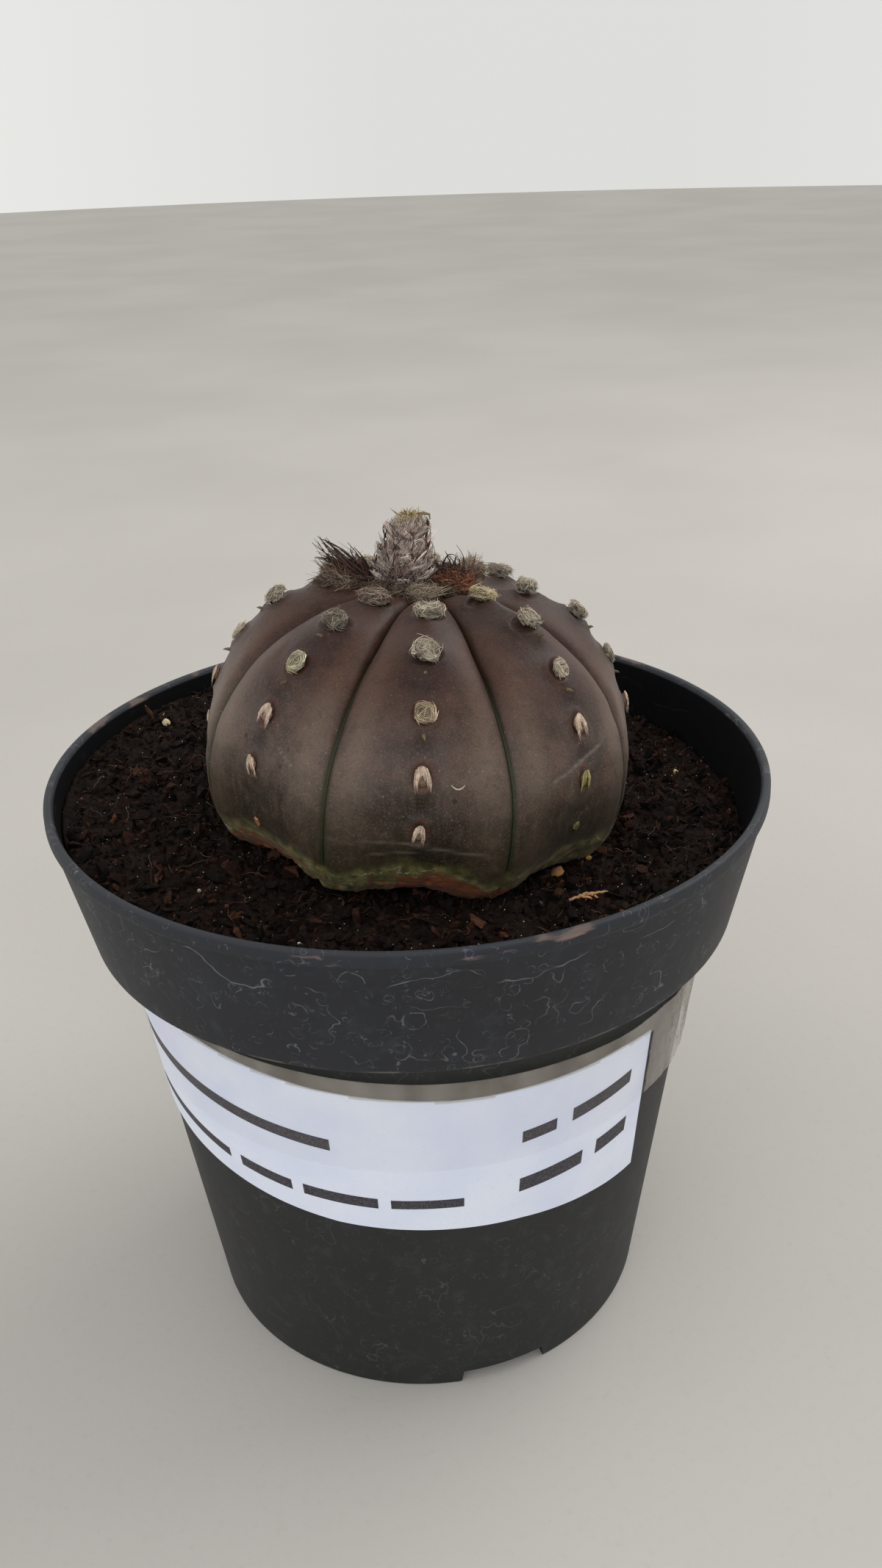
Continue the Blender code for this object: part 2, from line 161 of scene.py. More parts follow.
def step_up(values, low, high):
    """0 below low, 1 above high, smooth between."""
    share = np.clip((values - low) / (high - low), 0, 1)
    return share * share * (3 - 2 * share)


def bell(values, centre, width):
    """1 where values are at the centre, falling off to both sides."""
    return np.exp(-(((values - centre) / width) ** 2))


def unit(vectors):
    return vectors / (np.linalg.norm(vectors, axis=-1, keepdims=True) + 1e-12)


def stacked(*parts):
    """Coordinates given one by one as an array of points."""
    return np.stack(np.broadcast_arrays(*parts), axis=-1)


def polar(radius, angle, height):
    return stacked(radius * np.cos(angle), radius * np.sin(angle), height)


def smooth_between(values, place):
    """Catmull-Rom reading of a list at places counted in its steps."""
    values = np.asarray(values, float)
    place = np.clip(place, 0, len(values) - 1)
    low = np.minimum(np.floor(place).astype(int), len(values) - 2)
    t = place - low
    before = np.where(low > 0, values[np.maximum(low - 1, 0)], values[1])
    after = values[np.minimum(low + 2, len(values) - 1)]
    a, b = values[low], values[low + 1]
    bend = 2 * before - 5 * a + 4 * b - after
    return a + 0.5 * t * (b - before + t * (bend + t * (3 * (a - b) + after - before)))


def grid_faces(rows, columns, closed=False):
    """Quads between neighbouring rows of points; closed joins the last column to the first."""
    row = np.arange(rows - 1)[:, None]
    column = np.arange(columns if closed else columns - 1)[None, :]
    right = (column + 1) % columns
    corners = (row, column), (row, right), (row + 1, right), (row + 1, column)
    return stacked(*(r * columns + c for r, c in corners)).reshape(-1, 4)


def fan_faces(first, count, pole):
    """Triangles from a ring of points to one pole."""
    ring = first + np.arange(count)
    return np.stack((ring, first + (ring - first + 1) % count, np.full(count, pole)), axis=-1)


def capped_faces(rows, columns, downwards=True):
    """The faces of a closed skin: rings of points one after the other, then the poles at its two ends."""
    size = rows * columns
    first_cap = fan_faces(0, columns, size)
    last_cap = fan_faces(size - columns, columns, size + 1)
    groups = [grid_faces(rows, columns, closed=True), first_cap[:, ::-1], last_cap]
    return [faces[:, ::-1] for faces in groups] if downwards else groups


def copies(points, groups):
    """Many copies of one mesh, from points as (copy, point, xyz) and the groups of faces of one copy."""
    count, size, _ = points.shape
    start = (np.arange(count) * size)[:, None, None]
    return points.reshape(-1, 3), [(faces + start).reshape(-1, faces.shape[-1]) for faces in groups]


def joined(parts):
    """Several (points, groups of faces, colours) as one."""
    points, groups, colours, start = [], [], [], 0
    for part_points, part_groups, part_colours in parts:
        points.append(part_points)
        groups += [faces + start for faces in part_groups]
        colours.append(part_colours)
        start += len(part_points)
    return np.concatenate(points), groups, np.concatenate(colours)


def strands(paths, radii, sides=3):
    """Closed tubes along paths (strand, point, xyz), with a radius at each point."""
    count, length, _ = paths.shape
    along = unit(np.gradient(paths, axis=1))
    helper = np.eye(3)[np.argmin(np.abs(along.mean(axis=1)), axis=-1)][:, None, :]
    side = unit(np.cross(along, helper))
    up = np.cross(along, side)
    turn = (np.arange(sides) * tau / sides)[:, None]
    ring = np.cos(turn) * side[:, :, None] + np.sin(turn) * up[:, :, None]
    points = paths[:, :, None] + ring * np.broadcast_to(radii, (count, length))[..., None, None]
    cap = np.array([(0, first, first + 1) for first in range(1, sides - 1)])
    caps = np.concatenate((cap[:, ::-1], (length - 1) * sides + cap))
    groups = [grid_faces(length, sides, closed=True), caps]
    return copies(points.reshape(count, length * sides, 3), groups)


def ball(subdivisions):
    """The points and triangles of a unit icosphere."""
    shape = bmesh.new()
    bmesh.ops.create_icosphere(shape, subdivisions=subdivisions, radius=1.0)
    return mesh_arrays(shape)


def mesh_arrays(shape):
    shape.verts.index_update()
    points = np.array([vertex.co[:] for vertex in shape.verts])
    faces = np.array([[vertex.index for vertex in face.verts] for face in shape.faces])
    shape.free()
    return points, faces


def shard(corners, rng):
    """The hull of a few random points: an angular crumb about 2 across."""
    shape = bmesh.new()
    for point in unit(rng.normal(size=(corners, 3))) * rng.uniform(0.8, 1.0, (corners, 1)):
        shape.verts.new(point)
    bmesh.ops.convex_hull(shape, input=shape.verts)
    inner = [vertex for vertex in shape.verts if not vertex.link_faces]
    bmesh.ops.delete(shape, geom=inner, context="VERTS")
    bmesh.ops.recalc_face_normals(shape, faces=shape.faces)
    return mesh_arrays(shape)


def random_turns(count, rng):
    """Rotation matrices in every direction."""
    w, x, y, z = unit(rng.normal(size=(count, 4))).T
    rows = (
        (1 - 2 * (y * y + z * z), 2 * (x * y - w * z), 2 * (x * z + w * y)),
        (2 * (x * y + w * z), 1 - 2 * (x * x + z * z), 2 * (y * z - w * x)),
        (2 * (x * z - w * y), 2 * (y * z + w * x), 1 - 2 * (x * x + y * y)),
    )
    return np.stack([stacked(*row) for row in rows], axis=-2)


def lumps(centres, sizes, subdivisions, rng, rough):
    """Irregular round crumbs, each with its own shape, proportions and turn."""
    sphere, faces = ball(subdivisions)
    count = len(centres)
    own = sphere[None] + rng.uniform(0, 90, (count, 1, 3))
    swell = 1 + rough * noise(own, 0.9) + 0.5 * rough * noise(own, 0.4)
    shaped = sphere[None] * swell[..., None] * rng.uniform(0.5, 1.0, (count, 1, 3)) * sizes[:, None, None]
    shaped = np.einsum("nij,nkj->nki", random_turns(count, rng), shaped)
    return copies(centres[:, None] + shaped, [faces])


SHARD_KINDS = 30
SHARD_CORNERS = 11
SHARD_STRETCHES = ((0.9, 1.5), (0.45, 0.95), (0.25, 0.7))  # least and most, along each axis


def shards(centres, sizes, colours, rng):
    """Angular crumbs, from blocky to flaky and splintery."""
    parts = []
    for members in np.array_split(rng.permutation(len(centres)), SHARD_KINDS):
        points, faces = shard(SHARD_CORNERS, rng)
        count = len(members)
        stretch = stacked(*(rng.uniform(low, high, count) for low, high in SHARD_STRETCHES))
        shaped = points[None] * stretch[:, None] * sizes[members, None, None]
        shaped = np.einsum("nij,nkj->nki", random_turns(count, rng), shaped)
        made, groups = copies(centres[members, None] + shaped, [faces])
        parts.append((made, groups, np.repeat(colours[members], len(points), axis=0)))
    return joined(parts)


def tinted(colours, rng, spread):
    """Each colour made a little lighter or darker."""
    return colours * rng.uniform(1 - spread, 1 + spread, (len(colours), 1))


def placed(name, data):
    """A new object in the scene, of a mesh, a lamp or a lens."""
    made = bpy.data.objects.new(name, data)
    bpy.context.scene.collection.objects.link(made)
    return made


def piece(name, points, faces, look, replaces=(), colours=None, marks=None, sharp=None, smooth=True):
    """A mesh that moves with the object. Marks are named numbers at its points, read by its material."""
    mesh = bpy.data.meshes.new(name)
    groups = faces if isinstance(faces, list) else [faces]
    mesh.from_pydata((points * MM).tolist(), [], [face for group in groups for face in group.tolist()])
    if smooth:
        mesh.shade_smooth()
    if sharp is not None:
        mesh.set_sharp_from_angle(angle=sharp)
    for mark, values in (marks or {}).items():
        layer = mesh.attributes.new(mark, "FLOAT", "POINT")
        layer.data.foreach_set("value", np.asarray(values, np.float32).ravel())
    if colours is not None:
        layer = mesh.attributes.new("own_colour", "FLOAT_COLOR", "POINT")
        opaque = np.concatenate((colours, np.ones((len(colours), 1))), axis=1)
        layer.data.foreach_set("color", opaque.astype(np.float32).ravel())
    mesh.materials.append(look)
    made = placed(name, mesh)
    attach(made, "root")
    if replaces:
        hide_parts(*replaces)
    return made


# Materials

class Look:
    """A Principled material with short calls for the nodes that it is built of. Sizes are in millimetres."""

    def __init__(self, name, roughness=0.6, specular=0.5):
        self.material = bpy.data.materials.new(name)
        self.material.use_nodes = True
        self.nodes = self.material.node_tree.nodes
        self.links = self.material.node_tree.links
        self.shader = self.nodes["Principled BSDF"]
        self.give("Roughness", roughness)
        self.give("Specular IOR Level", specular)
        scaled = self.nodes.new("ShaderNodeVectorMath")
        scaled.operation = "SCALE"
        scaled.inputs["Scale"].default_value = 1 / MM
        self.links.new(self.nodes.new("ShaderNodeTexCoord").outputs["Object"], scaled.inputs[0])
        self.place = scaled.outputs["Vector"]

    def feed(self, target, value):
        if isinstance(value, bpy.types.NodeSocket):
            self.links.new(value, target)
        elif target.type == "RGBA":
            target.default_value = (*value, 1.0)
        else:
            target.default_value = value

    def give(self, socket, value):
        self.feed(self.shader.inputs[socket], value)

    def moved(self, operation, vector, by):
        node = self.nodes.new("ShaderNodeVectorMath")
        node.operation = operation
        self.feed(node.inputs[0], vector)
        self.feed(node.inputs[1], by)
        return node.outputs["Vector"]

    def noise(self, size, detail=3.0, stretch=(1, 1, 1), place=None, output="Fac", rough=0.5):
        node = self.nodes.new("ShaderNodeTexNoise")
        node.inputs["Scale"].default_value = 1 / size
        node.inputs["Detail"].default_value = detail
        node.inputs["Roughness"].default_value = rough
        self.feed(node.inputs["Vector"], self.moved("MULTIPLY", place or self.place, stretch))
        return node.outputs[output]

    def cells(self, size, place=None):
        node = self.nodes.new("ShaderNodeTexVoronoi")
        node.inputs["Scale"].default_value = 1 / size
        self.feed(node.inputs["Vector"], place or self.place)
        return node.outputs

    def calc(self, operation, first, second=0.0, clamp=False):
        node = self.nodes.new("ShaderNodeMath")
        node.operation = operation
        node.use_clamp = clamp
        self.feed(node.inputs[0], first)
        self.feed(node.inputs[1], second)
        return node.outputs[0]

    def times(self, *values):
        """The product, from the left."""
        product = values[0]
        for value in values[1:]:
            product = self.calc("MULTIPLY", product, value)
        return product

    def plus(self, first, second):
        return self.calc("ADD", first, second)

    def rise(self, value, low, high, least=0.0, most=1.0):
        """From least where value is low to most where it is high, smooth between."""
        node = self.nodes.new("ShaderNodeMapRange")
        node.interpolation_type = "SMOOTHSTEP"
        self.feed(node.inputs["Value"], value)
        for socket, number in zip(("From Min", "From Max", "To Min", "To Max"), (low, high, least, most)):
            node.inputs[socket].default_value = number
        return node.outputs["Result"]

    def line(self, value, centre, width):
        """1 where value is at centre, falling to 0 at width from it."""
        distance = self.calc("ABSOLUTE", self.calc("SUBTRACT", value, centre))
        return self.rise(distance, 0.0, width, 1.0, 0.0)

    def mix(self, share, first, second, blend="MIX"):
        node = self.nodes.new("ShaderNodeMix")
        node.data_type = "RGBA"
        node.blend_type = blend
        self.feed(node.inputs["Factor"], share)
        self.feed(node.inputs[6], first)
        self.feed(node.inputs[7], second)
        return node.outputs[2]

    def tint(self, base, share, most, paint):
        """The base with a paint of 8-bit sRGB over it, most at the most."""
        return self.mix(self.times(share, most), base, rgb(*paint))

    def darkened(self, base, by):
        return self.mix(1.0, base, by, "MULTIPLY")

    def patches(self, size, detail, low, high, least=0.0, most=1.0, **more):
        """Patches of noise of about this size, with edges from low to high in it."""
        return self.rise(self.noise(size, detail, **more), low, high, least, most)

    def specks(self, size, core, rim, chosen, soft=0.01, axis="X"):
        """Round specks, solid to core and gone at rim, in those cells whose random number is over chosen."""
        cell = self.cells(size)
        dot = self.rise(cell["Distance"], core, rim, 1.0, 0.0)
        return self.times(dot, self.rise(self.part(cell["Color"], axis), chosen, chosen + soft))

    def mark(self, name, output="Fac"):
        node = self.nodes.new("ShaderNodeAttribute")
        node.attribute_name = name
        return node.outputs[output]

    def part(self, vector, axis):
        node = self.nodes.new("ShaderNodeSeparateXYZ")
        self.feed(node.inputs[0], vector)
        return node.outputs[axis]

    def bump(self, height, depth):
        node = self.nodes.new("ShaderNodeBump")
        node.inputs["Distance"].default_value = depth * MM
        self.feed(node.inputs["Height"], height)
        already = self.shader.inputs["Normal"].links
        if already:
            self.links.new(already[0].from_socket, node.inputs["Normal"])
        self.give("Normal", node.outputs["Normal"])


# Dried rings of water on the plastic: the cells' size, the ring's radius and width in them, the share of cells
# without one, and its strength
WATER_RINGS = (
    (9.5, 0.24, 0.016, 0.66, 0.42), (6.0, 0.25, 0.020, 0.55, 0.30), (3.4, 0.27, 0.035, 0.50, 0.26),
)
WATER_TRAILS = ((7.0, 0.32, 0.50), (3.2, 0.26, 0.52))  # size, strength, and the noise where they begin


def water_marks(look):
    """Broken rings and trails of dried water, from 0 to 1."""
    warp = look.moved("MULTIPLY", look.noise(2.6, 3.0, output="Color"), (2.0, 2.0, 2.0))
    warped = look.moved("ADD", look.place, warp)
    chalk = None
    for size, radius, width, least, strength in WATER_RINGS:
        cell = look.cells(size, place=warped)
        ring = look.line(cell["Distance"], radius, width)
        chosen = look.rise(look.part(cell["Color"], "X"), least, least + 0.03)
        broken = look.patches(size / 4, 2.0, 0.42, 0.62)
        ring = look.times(look.times(ring, chosen), look.times(broken, strength))
        chalk = ring if chalk is None else look.calc("MAXIMUM", chalk, ring)
    for size, strength, low in WATER_TRAILS:
        shifted = look.moved("ADD", look.place, (size, 0, 0))
        trail = look.line(look.noise(size, 2.0, place=shifted), 0.52, 0.010)
        trail = look.times(trail, look.patches(size * 1.4, 2.0, low, low + 0.12), strength)
        chalk = look.calc("MAXIMUM", chalk, trail)
    return chalk


def plastic_look():
    """Charcoal plastic with dried water marks, a tide line under the lip, scratches and dust; a painted
    highlight on the lip and painted shade on the inner wall.
    """
    look = Look("moulded_charcoal_plastic", specular=0.42)
    height = look.part(look.place, "Z")
    squares = (look.calc("POWER", look.calc("ABSOLUTE", look.part(look.place, axis)), 2.0) for axis in "XY")
    radius = look.calc("POWER", look.plus(*squares), 0.5)
    cloud = look.noise(16.0, 4.0)
    chalk = water_marks(look)
    tide_level = look.times(look.noise(14.0, 3.0), 16.0)
    tide = look.line(look.plus(tide_level, look.calc("SUBTRACT", POT_HEIGHT - 15.0, height)), 0.0, 0.25)
    tide = look.times(tide, look.patches(9.0, 2.0, 0.48, 0.60))
    scratch = look.noise(1.3, 2.0, stretch=(1.0, 0.25, 0.9), place=look.moved("ADD", look.place, (40, 0, 9)))
    scratch = look.times(look.line(scratch, 0.5, 0.005), look.patches(7.0, 2.0, 0.54, 0.66))
    specks = look.specks(1.3, 0.06, 0.11, 0.84, 0.06)
    stains = look.patches(3.6, 4.0, 0.52, 0.72, rough=0.6)
    lip_foot = POT_HEIGHT - LIP_HEIGHT
    lip = look.rise(height, lip_foot - 0.4, lip_foot + 0.4)
    lower = look.rise(height, BAND_FOOT - 1.5, BAND_FOOT - 0.5, 1.0, 0.0)
    shades = look.rise(cloud, 0.3, 0.75)
    base = look.mix(shades, rgb(23, 25, 31), rgb(33, 35, 42))
    base = look.mix(lower, base, look.mix(shades, rgb(26, 27, 27), rgb(34, 35, 35)))
    base = look.tint(base, stains, 0.35, (52, 57, 62))
    # The lip is painted a lighter grey: a painted highlight on the rim.
    base = look.tint(base, lip, 0.5, (40, 43, 50))
    for mark, strength in ((tide, 0.42), (scratch, 0.25), (specks, 0.30)):
        chalk = look.calc("MAXIMUM", chalk, look.times(mark, strength))
    chalk = look.times(chalk, look.rise(lower, 0.0, 1.0, 1.0, 0.45))
    scuff = look.patches(5.0, 4.0, 0.60, 0.70, stretch=(0.5, 0.5, 2))
    scuff = look.times(scuff, look.line(height, POT_HEIGHT - 1.2, 2.2))
    wear = look.times(look.patches(6.0, 3.0, 0.45, 0.62), look.line(height, BAND_FOOT + 0.3, 0.5))
    base = look.tint(base, chalk, 0.82, (166, 169, 173))
    base = look.tint(base, scuff, 0.6, (158, 132, 120))
    base = look.tint(base, wear, 0.35, (150, 146, 140))
    # The inner wall is painted near-black and made duller: painted shade inside the pot.
    band_taper = (RIM_RADIUS - LIP_PROUD - BAND_FOOT_RADIUS) / BAND_HEIGHT
    outer = look.times(look.calc("SUBTRACT", height, BAND_FOOT), band_taper)
    outer = look.plus(BAND_FOOT_RADIUS - WALL / 2, outer)
    inside = look.rise(look.calc("SUBTRACT", outer, radius), -0.1, 0.1)
    inside = look.times(inside, look.rise(height, POT_HEIGHT - 1.2, POT_HEIGHT - 0.6, 1.0, 0.0))
    inside = look.times(inside, look.rise(height, BAND_FOOT, BAND_FOOT + 2.0))
    look.give("Base Color", look.tint(base, inside, 0.93, (8, 8, 9)))
    rough = look.plus(look.times(cloud, 0.20), look.times(chalk, 0.4))
    look.give("Roughness", look.plus(rough, look.rise(inside, 0.0, 1.0, 0.5, 0.75)))
    look.give("Specular IOR Level", look.rise(inside, 0.0, 1.0, 0.42, 0.08))
    look.bump(look.noise(0.5, 3.0), 0.012)
    look.bump(look.noise(6.0, 2.0, stretch=(1, 1, 0.35)), 0.10)
    look.bump(chalk, 0.03)
    return look.material


def soil_look():
    """Dark peat: colours come with each crumb, broken up by grain, with a few pale specks painted as glints.
    """
    look = Look("crumbly_peat", specular=0.1)
    own = look.mark("own_colour", "Color")
    grain = look.patches(0.7, 4.0, 0.35, 0.65, rough=0.65)
    base = look.mix(grain, look.darkened(own, (0.45, 0.45, 0.45)), own)
    base = look.mix(look.patches(2.4, 2.0, 0.58, 0.74), base, rgb(42, 25, 19))
    # Pale specks painted in as glints, and made glossier as well.
    glint_specks = look.specks(0.8, 0.10, 0.16, 0.87)
    look.give("Base Color", look.mix(glint_specks, base, rgb(206, 194, 178)))
    look.give("Roughness", look.rise(glint_specks, 0.0, 1.0, 0.82, 0.3))
    look.bump(look.noise(0.45, 4.0, rough=0.7), 0.25)
    look.bump(look.noise(1.6, 2.0), 0.3)
    return look.material


def skin_look():
    """Mauve brown cactus skin, darker in the hollows, partly its own tone and partly painted shade; green in
    the grooves, with painted shade along their creases; paler beside them, partly its own tone and partly
    painted sheen; green at its foot and corky below.
    """
    look = Look("star_cactus_skin", specular=0.24)
    crown, groove, foot, olive = (look.mark(name) for name in ("crown", "groove", "foot", "olive"))
    small = look.noise(2.4, 4.0, rough=0.6)
    dust = look.noise(0.35, 3.0, rough=0.7)
    shades = look.patches(11.0, 4.0, 0.36, 0.66)
    low_skin = look.mix(shades, rgb(71, 61, 55), rgb(95, 81, 72))
    colour = look.mix(crown, low_skin, look.mix(shades, rgb(72, 52, 46), rgb(98, 77, 70)))
    colour = look.tint(colour, look.patches(5.0, 3.0, 0.50, 0.68), 0.45, (104, 74, 68))
    colour = look.mix(olive, colour, look.mix(shades, rgb(50, 45, 32), rgb(70, 64, 48)))
    # Paler bands beside the grooves: partly paler skin, partly painted sheen where the skin turns away.
    colour = look.tint(colour, look.mark("groove_side_tone_and_sheen"), 0.66, (134, 116, 103))
    colour = look.tint(colour, look.rise(small, 0.50, 0.70), 0.30, (122, 98, 90))
    colour = look.tint(colour, look.rise(small, 0.32, 0.50, 1.0, 0.0), 0.30, (58, 50, 42))
    streak = look.patches(1.3, 3.0, 0.50, 0.72, stretch=(1.0, 1.0, 0.22))
    colour = look.tint(colour, streak, 0.22, (126, 112, 102))
    # Below and round each areole the skin is painted darker: partly its own darker tone, partly painted shade
    # in the hollow.
    colour = look.tint(colour, look.mark("hollow"), 0.68, (36, 28, 30))
    colour = look.tint(colour, look.rise(dust, 0.50, 0.70), 0.46, (142, 120, 106))
    colour = look.tint(colour, look.rise(dust, 0.32, 0.46, 1.0, 0.0), 0.35, (48, 38, 34))
    colour = look.mix(look.rise(groove, 0.25, 0.75, 0.0, 0.85), colour, rgb(58, 62, 38))
    # The near-black line along the groove's bottom is painted shade in the crease, over the groove's own
    # green.
    colour = look.mix(look.rise(groove, 0.84, 0.97), colour, rgb(22, 26, 14))
    wander = look.times(look.calc("SUBTRACT", look.noise(4.2, 4.0, rough=0.6), 0.5), 0.55)
    edge = look.plus(foot, look.times(wander, look.rise(foot, 0.0, 0.15)))
    green = look.mix(look.patches(2.2, 4.0, 0.3, 0.7), rgb(68, 68, 40), rgb(130, 124, 78))
    cork = look.mix(look.noise(1.0, 4.0, stretch=(0.5, 0.5, 1.4)), rgb(66, 38, 26), rgb(156, 92, 58))
    colour = look.mix(look.rise(edge, 0.01, 0.20, 0.0, 0.90), colour, green)
    rusty = look.times(look.calc("SUBTRACT", look.noise(2.6, 4.0), 0.5), 1.5)
    rusty = look.rise(look.plus(look.mark("rust"), rusty), 0.38, 0.54)
    colour = look.mix(look.times(look.rise(edge, 0.26, 0.38), rusty), colour, cork)
    crack = look.calc("MAXIMUM", look.line(edge, 0.24, 0.016), look.line(edge, 0.42, 0.014))
    crack = look.times(crack, look.patches(4.5, 2.0, 0.50, 0.62))
    colour = look.tint(colour, crack, 0.7, (190, 184, 160))
    colour = look.tint(colour, look.mark("halo"), 0.55, (116, 66, 48))
    colour = look.tint(colour, look.mark("scratch"), 0.5, (158, 146, 138))
    colour = look.tint(colour, look.specks(1.1, 0.07, 0.14, 0.62, 0.05, "X"), 0.6, (176, 160, 142))
    colour = look.tint(colour, look.specks(4.6, 0.07, 0.14, 0.72, 0.05, "Y"), 0.6, (38, 30, 27))
    depth = look.mix(olive, (0.86, 0.86, 0.86), (0.52, 0.50, 0.45))
    depth = look.mix(crown, depth, (0.37, 0.25, 0.20))
    colour = look.mix(look.rise(foot, 0.05, 0.25, 1.0, 0.12), colour, look.darkened(colour, depth))
    look.give("Base Color", colour)
    look.give("Roughness", look.plus(look.times(small, 0.2), look.rise(foot, 0.2, 0.5, 0.34, 0.6)))
    look.give("Sheen Weight", 0.13)
    look.give("Sheen Roughness", 0.4)
    look.give("Sheen Tint", rgb(214, 196, 186))
    look.bump(dust, 0.06)
    look.bump(look.noise(1.1, 3.0), 0.07)
    look.bump(crack, 0.15)
    return look.material


def fibre_look(name, roughness, specular):
    """Dry plant fibre: each strand brings its colour, with lighter and darker patches."""
    look = Look(name, roughness, specular)
    own = look.mark("own_colour", "Color")
    patches = look.patches(0.8, 4.0, 0.32, 0.66, rough=0.65)
    look.give("Base Color", look.mix(patches, look.darkened(own, (0.68, 0.65, 0.60)), own))
    look.bump(look.noise(0.3, 3.0), 0.05)
    return look.material


def paper_look():
    """Bluish white copier paper with faint fibre, a few dark specks at its right, and a slight waviness."""
    look = Look("label_paper_white", roughness=0.62, specular=0.3)
    base = look.mix(look.patches(18.0, 3.0, 0.3, 0.7), rgb(226, 232, 253), rgb(236, 241, 255))
    base = look.tint(base, look.patches(0.5, 3.0, 0.5, 0.8), 0.25, (208, 210, 224))
    right = look.rise(look.part(look.place, "X"), 22.0, 40.0)
    speck = look.times(look.specks(1.7, 0.06, 0.11, 0.93), right)
    look.give("Base Color", look.tint(base, speck, 0.75, (82, 84, 92)))
    look.bump(look.noise(0.35, 3.0), 0.02)
    look.bump(look.noise(9.0, 2.0), 0.12)
    return look.material


def ink_look():
    """Toner: near black, broken by the paper's grain."""
    look = Look("label_print_black", roughness=0.5, specular=0.4)
    grain = look.patches(0.35, 3.0, 0.42, 0.72, rough=0.7)
    look.give("Base Color", look.mix(grain, rgb(44, 42, 48), rgb(96, 94, 104)))
    look.bump(look.noise(0.3, 2.0), 0.01)
    return look.material


def film_look():
    """Clear packing tape: nearly invisible where it sticks to the paper, hazy and dirty where it doesn't."""
    look = Look("clear_tape_film", specular=0.5)
    crease = look.mark("crease")
    cloud = look.noise(7.0, 4.0, stretch=(1, 1, 0.5))
    haze = look.mix(look.rise(cloud, 0.3, 0.7), rgb(166, 158, 147), rgb(194, 188, 178))
    dirt = look.patches(1.8, 4.0, 0.56, 0.66, stretch=(1, 1, 0.45), rough=0.65)
    dirt = look.times(dirt, look.rise(crease, 0.2, 0.7))
    look.give("Base Color", look.tint(haze, dirt, 0.75, (62, 60, 55)))
    veil = look.plus(look.times(cloud, 0.16), look.rise(crease, 0.1, 0.9, 0.20, 0.44))
    veil = look.calc("ADD", veil, look.times(dirt, 0.2), clamp=True)
    look.give("Alpha", look.times(veil, look.rise(look.mark("stuck"), 0.45, 0.55, 1.0, 0.10)))
    look.give("Roughness", look.patches(2.0, 3.0, 0.3, 0.7, 0.16, 0.34))
    look.bump(look.noise(5.0, 3.0, stretch=(1, 1, 0.4)), 0.25)
    look.bump(look.noise(0.8, 2.0), 0.02)
    return look.material


def floor_look():
    look = Look("pale_matt_floor", roughness=0.75, specular=0.2)
    base = look.mix(look.patches(240.0, 3.0, 0.3, 0.7), rgb(187, 183, 178), rgb(194, 190, 185))
    look.give("Base Color", look.tint(base, look.patches(2.4, 3.0, 0.52, 0.8), 0.12, (160, 156, 148)))
    look.bump(look.noise(1.2, 3.0), 0.05)
    return look.material


# Camera, light and stage

CAMERA_PLACE = Vector((0.0, -261.08, 253.89)) * MM
CAMERA_YAW, CAMERA_PITCH, CAMERA_ROLL = radians(1.5), radians(26.71), radians(-1.889)
CAMERA_LENS, CAMERA_SENSOR = 31.4, 36.0
SKY_AT_HORIZON, SKY_OVERHEAD, SKY_IN_FRONT = 0.74, 0.76, 0.86
SKY_AT_LEFT, SKY_AT_RIGHT = 1.4, 1.2


def make_camera():
    ahead = cos(CAMERA_PITCH)
    forward = Vector((sin(CAMERA_YAW) * ahead, cos(CAMERA_YAW) * ahead, -sin(CAMERA_PITCH)))
    level = forward.cross(Vector((0, 0, 1))).normalized()
    upright = level.cross(forward)
    right = cos(CAMERA_ROLL) * level + sin(CAMERA_ROLL) * upright
    up = cos(CAMERA_ROLL) * upright - sin(CAMERA_ROLL) * level
    lens = bpy.data.cameras.new("camera")
    lens.lens, lens.sensor_width, lens.sensor_fit = CAMERA_LENS, CAMERA_SENSOR, "AUTO"
    lens.clip_start, lens.clip_end = 0.01, 20.0
    camera = placed("camera", lens)
    turned = Matrix((right, up, -forward)).transposed().to_4x4()
    camera.matrix_world = Matrix.Translation(CAMERA_PLACE) @ turned
    bpy.context.scene.camera = camera


def make_light(name, place, aim, size, power, colour):
    """A soft rectangular light; places in metres."""
    lamp = bpy.data.lights.new(name, "AREA")
    lamp.shape, lamp.size, lamp.size_y = "RECTANGLE", *size
    lamp.energy, lamp.color = power, colour
    made = placed(name, lamp)
    made.location = place
    made.rotation_euler = (Vector(aim) - Vector(place)).to_track_quat("-Z", "Y").to_euler()


def make_world():
    """Even studio light, a little weaker in front and stronger from the left and right."""
    world = bpy.data.worlds.new("studio")
    world.use_nodes = True
    nodes, links = world.node_tree.nodes, world.node_tree.links
    parts = nodes.new("ShaderNodeSeparateXYZ")
    links.new(nodes.new("ShaderNodeTexCoord").outputs["Generated"], parts.inputs[0])

    def rise(axis, *span):
        node = nodes.new("ShaderNodeMapRange")
        for socket, number in zip(("From Min", "From Max", "To Min", "To Max"), span):
            node.inputs[socket].default_value = number
        links.new(parts.outputs[axis], node.inputs["Value"])
        return node.outputs["Result"]

    def times(first, second):
        node = nodes.new("ShaderNodeMath")
        node.operation = "MULTIPLY"
        links.new(first, node.inputs[0])
        links.new(second, node.inputs[1])
        return node.outputs[0]

    upward = rise("Z", 0.0, 1.0, SKY_AT_HORIZON, SKY_OVERHEAD)
    front = rise("Y", -0.8, -0.1, SKY_IN_FRONT, 1.0)
    left = rise("X", -0.9, 0.0, SKY_AT_LEFT, 1.0)
    right = rise("X", 0.2, 0.9, 1.0, SKY_AT_RIGHT)
    sky = nodes["Background"]
    sky.inputs["Color"].default_value = (*rgb(253, 253, 250), 1.0)
    links.new(times(times(upward, front), times(left, right)), sky.inputs["Strength"])
    bpy.context.scene.world = world
    bpy.context.scene.view_settings.view_transform = "Standard"


